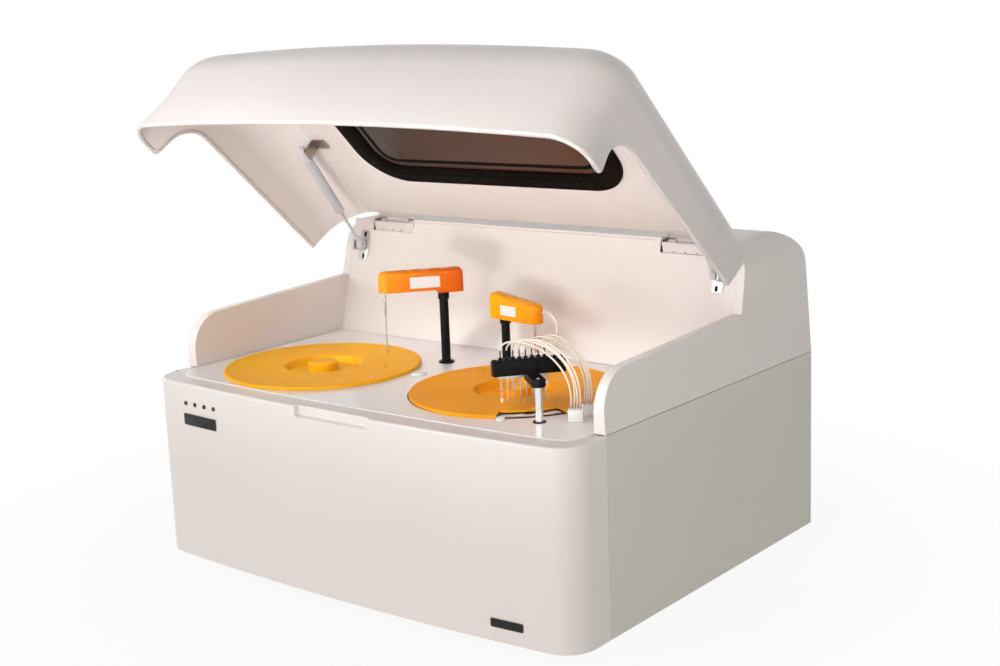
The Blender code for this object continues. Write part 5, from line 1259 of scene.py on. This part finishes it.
def wash_head():
    """Bar with its bosses, clamp and screws, eight needles, stubs and the chrome post."""
    offset = (WASH_POST[0] - WASH_FIRST[0], WASH_POST[1] - WASH_FIRST[1])
    post_u = offset[0] * math.cos(WASH_TURN) + offset[1] * math.sin(WASH_TURN)
    post_v = offset[1] * math.cos(WASH_TURN) - offset[0] * math.sin(WASH_TURN)
    first, turn = Vector((*WASH_FIRST, 0)), Matrix.Rotation(WASH_TURN, 3, "Z")
    base, top = WASH_BAR_BASE, WASH_BAR_TOP
    bar_top = top - 0.0034
    bar = soft_box((-0.013, -0.009, base), (WASH_RUN + 0.030, 0.009, bar_top), 0.0010, 0.002)
    rib = soft_box((-0.010, -0.0055, top - 0.006), (WASH_RUN + 0.012, 0.0055, top - 0.0012), 0.0006, 0.0015)
    boss = turned([(0, 0.0034), (0.0024, 0.0034), (0.0028, 0.0030), (0.0028, -0.002), (0, -0.002)], 20)
    seats = [(-0.0095, 0.0, 0), (0.0060, -0.0065, 0)]
    seats += [(WASH_RUN + past, 0.0, 0) for past in (0.0150, 0.0255)]
    seats += [(index * WASH_PITCH, 0.0, 0.0022) for index in range(WASH_COUNT)]
    bosses = repeated("spots", moved(boss, (0, 0, bar_top)), BLACK, spots=seats)
    low, high = WASH_ARM
    arm = soft_box((post_u - 0.0095, post_v, low), (post_u + 0.0095, -0.005, high), 0.0008, 0.0012)
    cheek_low = (post_u - 0.0080, -0.0125, low + 0.001)
    cheek = soft_box(cheek_low, (post_u + 0.0080, -0.0080, top - 0.0060), 0.0008, 0.0012)
    clamp = moved(turned([
        (0, high), (0.0100, high), (0.0105, high - 0.0006), (0.0105, low + 0.0006), (0.0100, low), (0, low),
    ], 48), (post_u, post_v, 0))
    body = moved(together(bar, rib, bosses, arm, cheek, clamp), first, WASH_TURN)
    show("wash_bar_moulding", body, BLACK, "wash_head", ["wash_bar"], slot="black")
    heads = [first + turn @ Vector(spot) for spot in ((post_u, post_v, high), (post_u, -0.0100, high))]
    screws("clamp_screws", 0.0022, heads, [(0, 0, 0.4), (0, 0, 1.1)], STEEL, "wash_head")
    thumb = turned([
        (0, 0.0050), (0.0022, 0.0050), (0.0026, 0.0044), (0.0026, 0.0012), (0.0014, 0.0010),
        (0.0014, -0.0020), (0, -0.0020),
    ], 20)
    moved(thumb, turn=math.pi / 2, axis="Y")
    side = turn @ Vector((post_u + 0.0100, post_v, (low + high) / 2))
    show("clamp_thumb_screw", moved(thumb, first + side, WASH_TURN), STEEL, "wash_head")

    strip_top = base - HAIR
    strip = soft_box((-0.004, -0.003, strip_top - 0.0045), (WASH_RUN + 0.004, 0.003, strip_top), 0.0005)
    needle = turned([
        (0, strip_top - 0.002), (0.0012, strip_top - 0.002), (0.0012, 0.3300), (0.0009, 0.3285),
        (0.0009, WASH_NEEDLE_TIP + 0.0008), (0.0005, WASH_NEEDLE_TIP), (0, WASH_NEEDLE_TIP),
    ], 12)
    needles = together(strip, repeated("row", needle, STEEL, WASH_COUNT, WASH_PITCH))
    moved(needles, first, WASH_TURN)
    show("wash_needle_row", needles, STEEL, "wash_head", ["wash_needles"], slot="steel")
    profile = [(0.0010, 0.3245), (0.0019, 0.3245), (0.0019, 0.3190), (0.0010, 0.3190)]
    show_turned("first_needle_sleeve", profile, WASH_FIRST, WHITE, "wash_head", sides=20)
    stub = turned([(0, top + 0.0150), (0.0009, top + 0.0150), (0.0009, top - 0.004), (0, top - 0.004)], 12)
    row = moved(repeated("row", stub, STEEL, WASH_COUNT, WASH_PITCH), first, WASH_TURN)
    show("wash_stubs", row, BLACK, "wash_head")

    profile = [
        (0, WASH_POST_TOP), (0.0056, WASH_POST_TOP), (0.0060, WASH_POST_TOP - 0.0004), (0.0060, WASH_POST_FOOT),
        (0, WASH_POST_FOOT),
    ]
    show_turned("wash_post_chrome", profile, WASH_POST, CHROME, "wash_head", ["wash_post"], "chrome", 64)
    profile = [
        (0.0065, 0.2995), (0.0092, 0.2995), (0.0100, 0.2989), (0.0100, SHELL_BASE), (0.008, SHELL_BASE),
        (0.008, SOCKET_LOW), (0.0065, SOCKET_LOW),
    ]
    show_turned("wash_post_bush", profile, WASH_POST, BLACK, "casing", ["wash_bush"], "black")


def drain_block(name):
    """White block with four steel pins."""
    (x, y), width, height = DRAINS[name]
    top = SHELL_BASE + height
    block = soft_box((-width / 2, -0.0065, SHELL_BASE), (width / 2, 0.0065, top), 0.0008, 0.0010)
    moved(block, (x, y, 0), DRAIN_TURN)
    show("drain_block_" + name + "_moulding", block, WHITE, "casing", ["drain_block_" + name], slot="white")
    tip, foot, pitch = top + DRAIN_PIN_HEIGHT, top - 0.002, width / 5
    pin = turned([(0, tip), (0.0011, tip), (0.0011, foot), (0, foot)], 12)
    row = moved(repeated("row", pin, STEEL, 4, pitch), (pitch - width / 2, 0, 0))
    show("drain_pins_" + name, moved(row, (x, y, 0), DRAIN_TURN), STEEL, "casing")


def smooth_path(points, steps=8):
    """Smooth line through a few points."""
    points = [Vector(p) for p in points]
    ends = [points[0] * 2 - points[1]] + points + [points[-1] * 2 - points[-2]]
    path = []
    for index in range(1, len(ends) - 2):
        a, b, c, d = ends[index - 1:index + 3]
        for step in range(steps):
            t = step / steps
            path.append(0.5 * (2 * b + (c - a) * t + (2 * a - 5 * b + 4 * c - d) * t * t
                               + (3 * b - a - 3 * c + d) * t ** 3))
    return path + [points[-1]]


def hose(name, path, radius, finish, nodes=()):
    """Thin hose along its route."""
    path = [Vector(p) + SHIFT for p in path]
    mesh = tube(path, radius, 12)
    mesh.materials.append(finish)
    mesh.shade_smooth()
    made = new_object(name, mesh)
    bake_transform(made)
    if nodes:
        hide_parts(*nodes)
    return made


def hoses():
    """Eight wash hoses from the bar to the drain pins, and the tube of the rear arm."""
    chance = random.Random(4)
    for index in range(WASH_COUNT):
        row = "front" if index < 4 else "rear"
        (x, y), width, height = DRAINS[row]
        pin_u = (index % 4 + 1) * width / 5 - width / 2
        pin = (x + pin_u * math.cos(DRAIN_TURN), y + pin_u * math.sin(DRAIN_TURN))
        end = Vector((*pin, SHELL_BASE + height + DRAIN_PIN_HEIGHT - 0.004))
        start = Vector((*along_bar(index * WASH_PITCH), WASH_BAR_TOP + 0.0125))
        rise = Vector((0, 0, 0.030 + 0.010 * chance.random()))
        sway = Vector((0.010 + 0.008 * chance.random(), 0.012 * (chance.random() - 0.5), 0))
        over = end + sway + Vector((0, 0, start.z - end.z + 0.012 + 0.012 * chance.random()))
        path = []
        for step in range(HOSE_STEPS + 1):
            t = step / HOSE_STEPS
            s = 1 - t
            path.append(start * s ** 3 + (start + rise) * 3 * s * s * t + over * 3 * s * t * t + end * t ** 3)
        hose(f"wash_hose_{index + 1}", path, HOSE_RADIUS, HOSE, ["wash_hose_" + row])
    spec = ARMS["rear_arm"]
    x, y = spec["post"]
    end = spec["reach"] + spec["nose"]
    points = [(x + end + ahead, y + aside, z) for ahead, aside, z in (
        (-0.006, -0.008, 0.386), (0.005, -0.008, 0.3905), (0.018, -0.009, 0.387), (0.028, -0.010, 0.370),
        (0.025, -0.010, 0.345), (0.006, -0.004, 0.327), (-0.030, 0.004, 0.3185),
    )]
    points += [(x + 0.030, y + 0.003, 0.3095), (x + 0.0118, y, 0.3005)]
    hose("rear_arm_tube", smooth_path(points), 0.0016, PALE_HOSE)


def sector_lip():
    """Deck-coloured lip in the right cover's sector, with a narrow slot under the wash needles."""
    lip = prism(sector(0.15785, 0.1362, 0.5), DECK_TOP - 0.0060, DECK_TOP - 0.0001)
    moved(lip, (*DISC_CENTRES["right"], 0))
    outline = rounded((-0.0030, -0.0022), (WASH_RUN + 0.0030, 0.0022), 0.0021, 6)
    slot = prism(outline, COVER_CUT_LOW, DECK_TOP + PAST)
    lip = cut(lip, moved(slot, (*WASH_FIRST, 0), WASH_TURN))
    show("deck_sector_lip", lip, DECK, "casing")


def cover_painted_shadow():
    """Thin black ring that the right cover rests on, set slightly to the left, as painted shadow along the
    cover's left edge.
    """
    low, top = SHELL_BASE - 0.0002, SHELL_BASE + 0.0006
    profile = [(0.1585, low), (0.1585, top), (0.1642, top), (0.1648, SHELL_BASE), (0.1648, low)]
    x, y = DISC_CENTRES["right"]
    show_turned("right_cover_seal", profile, (x - 0.0028, y + 0.0011), BLACK, "casing", sides=TURN_SIDES)


def cups():
    """Wash cup beside the left disc and the small one beside the right disc."""
    base, rim = SHELL_BASE, SHELL_BASE + 0.004
    profile = [
        (0.0085, rim), (0.0117, rim), (0.0125, rim - 0.0008), (0.0125, base), (0.010, base),
        (0.010, SOCKET_LOW), (0.0085, SOCKET_LOW),
    ]
    show_turned("wash_cup_moulding", profile, WASH_CUP, WHITE, "casing", ["wash_cup_left"], "white", 64)
    profile = [
        (0, base + 0.0015), (0.004, base + 0.0015), (0.004, base + 0.0046), (0.0044, base + 0.005),
        (0.0060, base + 0.005), (0.0065, base + 0.0044), (0.0065, base), (0, base),
    ]
    show_turned("small_cup_moulding", profile, SMALL_CUP, WHITE, "casing", ["wash_cup_right"], "white")


# Lid fittings


def strut_parts(side):
    """Wall bracket with its slots, rod with its eye, tube with its cap, and the lid bracket."""
    rod_body, tube_body = "strut_rod_" + side[0], "strut_tube_" + side[0]
    ear_x, pivot = STRUT_X + 0.0095, (STRUT_X, *STRUT_PIVOT)

    def put(name, mesh, *rest):
        show(name + side, mirrored(mesh, side), *rest)

    def barrel_of(line, radius):
        return tube([(0, -u, 0) for u, r in line], radius, 40, [r for u, r in line])

    run = (wall_y(STRUT_PIVOT[1]) - STRUT_PIVOT[0]) * math.cos(WALL_LEAN) - HAIR
    plate = soft_plate((ear_x - 0.0190, -0.028), (ear_x + 0.002, 0.028), 0.0070, run - 0.002, run, "y")
    # Painted shade: thin black backs set into the slots stand in for the shade within them.
    slot_shades = []
    for z in (-0.0205, 0.0205):
        slot = rounded((ear_x - 0.0125, z - 0.0050), (ear_x - 0.0065, z + 0.0050), 0.0029, 6)
        plate = cut(plate, prism(slot, run - PAST, run + PAST, "y"))
        slot_shades.append(prism(slot, run - 0.0010, run - 0.0002, "y"))
    slot_shades = moved(together(*slot_shades), (0, *STRUT_PIVOT), -WALL_LEAN, "X")
    put("bracket_slots_", slot_shades, BLACK, "casing")
    ear = soft_plate((-0.010, -0.010), (run - 0.001, 0.010), 0.0030, ear_x, ear_x + 0.002, "x")
    pin = prism(circle(0.0028), STRUT_X - 0.005, ear_x + 0.001, "x")
    bracket = moved(together(plate, ear, pin), (0, *STRUT_PIVOT), -WALL_LEAN, "X")
    put("wall_bracket_", bracket, STEEL, "casing", ["strut_wall_bracket_" + side], None, "steel")

    eye = soft_prism(circle(0.0085, (0, 0), 40), -0.005, 0.005, 0.0012, "x")
    eye = cut(eye, prism(circle(0.0032), -PAST, PAST, "x"))
    neck = tube([(0, -0.005, 0), (0, -0.016, 0), (0, -0.018, 0), (0, -0.020, 0)], 0.0047, 24,
                [0.0047, 0.0047, 0.0044, 0.0034])
    rod = tube([(0, -0.012, 0), (0, -0.060, 0), (0, -0.106, 0)], 0.003, 24)
    eye = moved(together(eye, neck), pivot)
    put("strut_eye_", eye, STRUT_END, rod_body, ["strut_rod_" + side], "strut", "strut")
    put("strut_chrome_rod_", moved(rod, pivot), CHROME, rod_body, (), "strut")

    barrel = barrel_of([(0.0825, 0.0052), (0.0829, 0.0066), (0.0838, 0.0076), (0.0850, 0.0080),
                        (0.2060, 0.0080), (0.2074, 0.0078), (0.2081, 0.0074)], 0.008)
    barrel = moved(cut(barrel, prism(circle(0.0036), -0.1605, -0.070, "y")), pivot)
    put("strut_barrel_", barrel, STRUT, tube_body, ["strut_tube_" + side], "strut", "strut")
    cap = barrel_of([(0.2075, 0.0070), (0.2079, 0.0086), (0.2090, 0.0090), (0.2112, 0.0090), (0.2120, 0.0078),
                     (0.2132, 0.0078), (0.2140, 0.0088), (0.2240, 0.0090), (0.2270, 0.0086), (0.2320, 0.0066),
                     (0.2364, 0.0046)], 0.009)
    stud = soft_prism(circle(0.0040, (-STRUT_REACH, 0), 24), -0.0112, 0.0095, 0.0008, "x")
    put("strut_socket_", moved(together(cap, stud), pivot), STRUT_END, tube_body, (), "strut")
    clip = soft_prism(circle(0.0052, (-STRUT_REACH, 0), 32), -0.0112, -0.0072, 0.0008, "x")
    put("strut_clip_", moved(clip, pivot), BLACK, tube_body, (), "strut")

    face, top = STRUT_X - 0.0115, INNER_TOP - 0.0018
    front, rear = 0.2896, 0.3116
    plate = soft_plate((face - 0.030, front), (face, rear), 0.0025, top - 0.002, top, "z")
    ear = soft_plate((front, 0.4687), (rear, top - 0.001), 0.0025, face - 0.002, face, "x")
    for x in (face - 0.023, face - 0.010):
        slot = rounded((x - 0.0020, 0.2960), (x + 0.0020, 0.3050), 0.0019, 6)
        plate = cut(plate, prism(slot, top - PAST, top + PAST))
    put("lid_bracket_", together(plate, ear), BRACKET, "lid", ["strut_lid_bracket_" + side], "lid", "steel")


def soft_plate(low, high, corner, start, end, axis):
    """Flat plate with round corners and lightly broken edges."""
    return soft_prism(rounded(low, high, corner, 8), start, end, 0.0004, axis, 2)


def wall_band(low_z, high_z, near, far):
    """Side view of a thin band that follows the leaning wall, between two depths behind its face."""
    corners = ((low_z, near), (low_z, far), (high_z, far), (high_z, near))
    return [(wall_y(z) + depth, z) for z, depth in corners]


def hinges():
    """Hinge leaves in the tower and on the lid, the strip that closes each pocket's mouth, and a black piece at
    each strip's left end that is painted shade in the pocket's corner.
    """
    low_x, high_x = HINGE_X - LEAF_HALF, HINGE_X + LEAF_HALF
    core = (low_x + LEAF_CORE_INSET, high_x - LEAF_CORE_INSET)
    top = INNER_TOP - HAIR
    low_z, high_z, end_x = POCKET_LOW + 0.0004, POCKET_STRIP_TOP, -HINGE_HALF
    through = (0.480, POCKET_REAR)
    for side in ("right", "left"):
        dressed("hinge_base_" + side, TOWER, "casing", 0.0006, slot="lid")
        plate = soft_plate((low_x, 0.494), (high_x, 0.5115), 0.004, top - 0.0010, top, "z")
        view = [(0.5105, top), (0.5105, top - 0.0020), (0.5170, 0.4935), (HINGE_Y, 0.4990), (0.5160, top)]
        neck = prism(view, *core, "x")
        leaf = together(plate, neck, prism(circle(0.0058, (HINGE_Y, HINGE_Z)), *core, "x"))
        show("lid_leaf_" + side, mirrored(leaf, side), LID, "lid", ["hinge_leaf_" + side], "lid", "lid")
        strip = prism(wall_band(low_z, high_z, 0.0002, 0.0028), end_x, HINGE_HALF + 0.0002, "x")
        gap = [(end_x - 0.001, low_z - 0.001), (end_x + 0.0065, low_z - 0.001),
               (end_x + 0.0005, high_z + 0.001), (end_x - 0.001, high_z + 0.001)]
        strip = cut(strip, prism(gap, *through, "y"))
        for x in (-0.022, 0.0, 0.022):
            strip = cut(strip, prism(circle(0.0016, (x, low_z + 0.0020), 16), *through, "y"))
        centre = (HINGE_X if side == "right" else -HINGE_X, 0, 0)
        show("pocket_strip_" + side, moved(strip, centre), LID, "casing")
        # Painted shade: black piece filling the gap at the strip's left end, where the pocket's corner lies in
        # deep shade.
        end = prism(wall_band(low_z, high_z, 0.0012, 0.0024), end_x, end_x + 0.0075, "x")
        show("pocket_end_" + side, moved(end, centre), BLACK, "casing")


# Casing fittings


def front_plates():
    """Two bare black plates, the row of small indicators and a small black mark on the deck's rim."""
    for node, x, z, width, height in (
        ("name_plate", -0.305, 0.2375, 0.082, 0.019), ("lower_plate", 0.3165, 0.0285, 0.055, 0.013),
    ):
        y, turn = front_surface(x)
        outline = rounded((-width / 2, -height / 2), (width / 2, height / 2), 0.0022, 8)
        plate = moved(soft_prism(outline, -0.0017, -0.0005, 0.0004, "y", 3), (x, y, z), turn)
        show(node + "_bare", plate, PLATE_BLACK, "casing", [node], slot="black")
    # A small flat black patch on the rim near its left front corner.
    low, high = RIM_DARK_MARK
    slot = soft_box((*low, FRONT_TOP - 0.0004), (*high, FRONT_TOP + 0.0002), 0.0002, 0.0012)
    show("rim_catch_slot", slot, BLACK, "casing")
    dressed("indicator_board", BOARD, "casing", 0.0002, slot="board")
    half_run = (LED_COUNT - 1) / 2 * LED_PITCH
    y, turn = front_surface(LED_FIRST + half_run)
    lens = turned([
        (0, 0.0012), (0.0016, 0.0011), (0.0028, 0.0008), (0.0033, 0.0002), (0.0033, -0.0009), (0, -0.0009),
    ], 24)
    moved(lens, turn=math.pi / 2, axis="X")
    row = moved(repeated("row", lens, LENS, LED_COUNT, LED_PITCH), (-half_run, -0.0011, 0))
    show("indicator_lenses", moved(row, (LED_FIRST + half_run, y, LED_HEIGHT), turn), LENS, "casing")


def panels():
    """Side and rear panels, rear wall, base pan, feet and the inlet with its rocker."""
    rows = [("side_panel_" + side, SIDE, 0.0002, "ivory") for side in ("left", "right")]
    rows += [
        ("rear_wall", TOWER, 0.0006, "ivory"), ("base_pan", SHEET, 0.0004, "sheet"),
        ("power_supply", SHEET, 0.0010, "sheet"), ("sample_pump", GREY, 0.0010, "grey"),
        ("mains_inlet", BLACK, 0.0005, "black"),
    ]
    rows += [(f"foot_{end}_{side}", RUBBER, 0.0015, "rubber") for end in ("front", "rear")
             for side in ("left", "right")]
    for node, finish, edge, slot in rows:
        dressed(node, finish, "casing", edge, slot=slot)
    dressed("power_rocker", BLACK, "rocker", 0.0004, slot="black")
    spots = [(x, BODY_DEPTH - 0.0021, z) for x in REAR_SCREWS_X for z in REAR_SCREWS_Z]
    seats = [moved(prism(circle(0.0044), -0.0001, PAST, "y"), spot) for spot in spots]
    dressed("rear_panel", SIDE, "casing", 0.0004, slot="ivory", seats=seats)
    screws("rear_panel_screws", 0.0036, spots, [(-math.pi / 2, 0, 0)] * len(spots), STEEL, "casing")


def build():
    """Make every piece of the object."""
    front_cover()
    upper_shell()
    deck()
    lid()
    lid_bead()
    window()
    discs()
    arms()
    wash_head()
    for name in DRAINS:
        drain_block(name)
    hoses()
    sector_lip()
    cover_painted_shadow()
    cups()
    for side in ("left", "right"):
        strut_parts(side)
    hinges()
    front_plates()
    panels()


# Studio


def camera():
    """Camera at the photograph's viewing angle."""
    data = bpy.data.cameras.new("studio_camera")
    data.sensor_width = 36.0
    data.lens = FOCAL_PIXELS / IMAGE_WIDTH * data.sensor_width
    data.clip_start = 0.05
    made = new_object("studio_camera", data)
    azimuth, elevation, roll = (math.radians(angle) for angle in CAMERA_ANGLES)
    level = math.cos(elevation)
    back = Vector((math.sin(azimuth) * level, -math.cos(azimuth) * level, math.sin(elevation)))
    right = (-back).cross(Vector((0, 0, 1))).normalized()
    up = right.cross(-back)
    right, up = right * math.cos(roll) + up * math.sin(roll), up * math.cos(roll) - right * math.sin(roll)
    turn = Matrix((right, up, back)).transposed().to_4x4()
    made.matrix_world = Matrix.Translation(CAMERA_PLACE + SHIFT) @ turn
    bpy.context.scene.camera = made


def lamp(name, place, aim, size, power, spread):
    """Soft rectangular lamp that looks at a point, its beam narrowed by a grid where that is wanted."""
    data = bpy.data.lights.new(name, "AREA")
    data.shape = "RECTANGLE"
    data.size, data.size_y = size
    data.energy = power
    data.spread = math.radians(spread)
    made = new_object(name, data)
    made.location = place
    made.rotation_euler = (Vector(aim) - Vector(place)).to_track_quat("-Z", "Y").to_euler()


def seen_rays(nodes, links):
    """One for a ray that looks at the surroundings directly, in a mirror or through glass, else zero."""
    rays = nodes.new("ShaderNodeLightPath")
    share = rays.outputs["Is Camera Ray"]
    for kind in ("Is Glossy Ray", "Is Transmission Ray"):
        either = nodes.new("ShaderNodeMath")
        either.operation = "MAXIMUM"
        links.new(share, either.inputs[0])
        links.new(rays.outputs[kind], either.inputs[1])
        share = either.outputs[0]
    return share


def mixed_by(nodes, links, share, first, second, target):
    """Lead two shaders, mixed by a share, to an output's surface."""
    mixed = nodes.new("ShaderNodeMixShader")
    for output, socket in zip((share, first, second), mixed.inputs):
        links.new(output, socket)
    links.new(mixed.outputs["Shader"], nodes[target].inputs["Surface"])


def studio():
    """White floor and backdrop, and plain soft lamps."""
    white = (1, 1, 1, 1)
    scene = bpy.context.scene
    scene.view_settings.view_transform = "Standard"
    world = bpy.data.worlds.new("studio_world")
    scene.world = world
    world.use_nodes = True
    nodes, links = world.node_tree.nodes, world.node_tree.links
    light = fill(nodes["Background"], Color=(1.0, 0.985, 0.965, 1), Strength=WORLD_STRENGTH).outputs["Background"]
    seen = fill(nodes.new("ShaderNodeBackground"), Color=white, Strength=1.0).outputs["Background"]
    mixed_by(nodes, links, seen_rays(nodes, links), light, seen, "World Output")

    paper = Look("floor_paper", (0.72, 0.72, 0.71), 0.9)
    nodes, links = paper.nodes, paper.links
    glow = fill(paper.add("ShaderNodeEmission"), Color=white).outputs["Emission"]
    distance = paper.add("ShaderNodeVectorMath", operation="LENGTH")
    links.new(paper.place, distance.inputs[0])
    fade = paper.add("ShaderNodeMapRange", interpolation_type="SMOOTHSTEP")
    fill(fade, From_Min=0.35, From_Max=1.10, To_Min=0.90, To_Max=1.0)
    links.new(distance.outputs["Value"], fade.inputs["Value"])
    share = paper.add("ShaderNodeMath", operation="MULTIPLY")
    links.new(seen_rays(nodes, links), share.inputs[0])
    links.new(fade.outputs["Result"], share.inputs[1])
    mixed_by(nodes, links, share.outputs[0], paper.shader.outputs["BSDF"], glow, "Material Output")
    floor = new_object("studio_floor", prism(circle(FLOOR_RADIUS, sides=96), -0.02, 0.0))
    floor.data.materials.append(paper.material)

    for row in LAMPS:
        lamp(*row)


camera()
build()
studio()
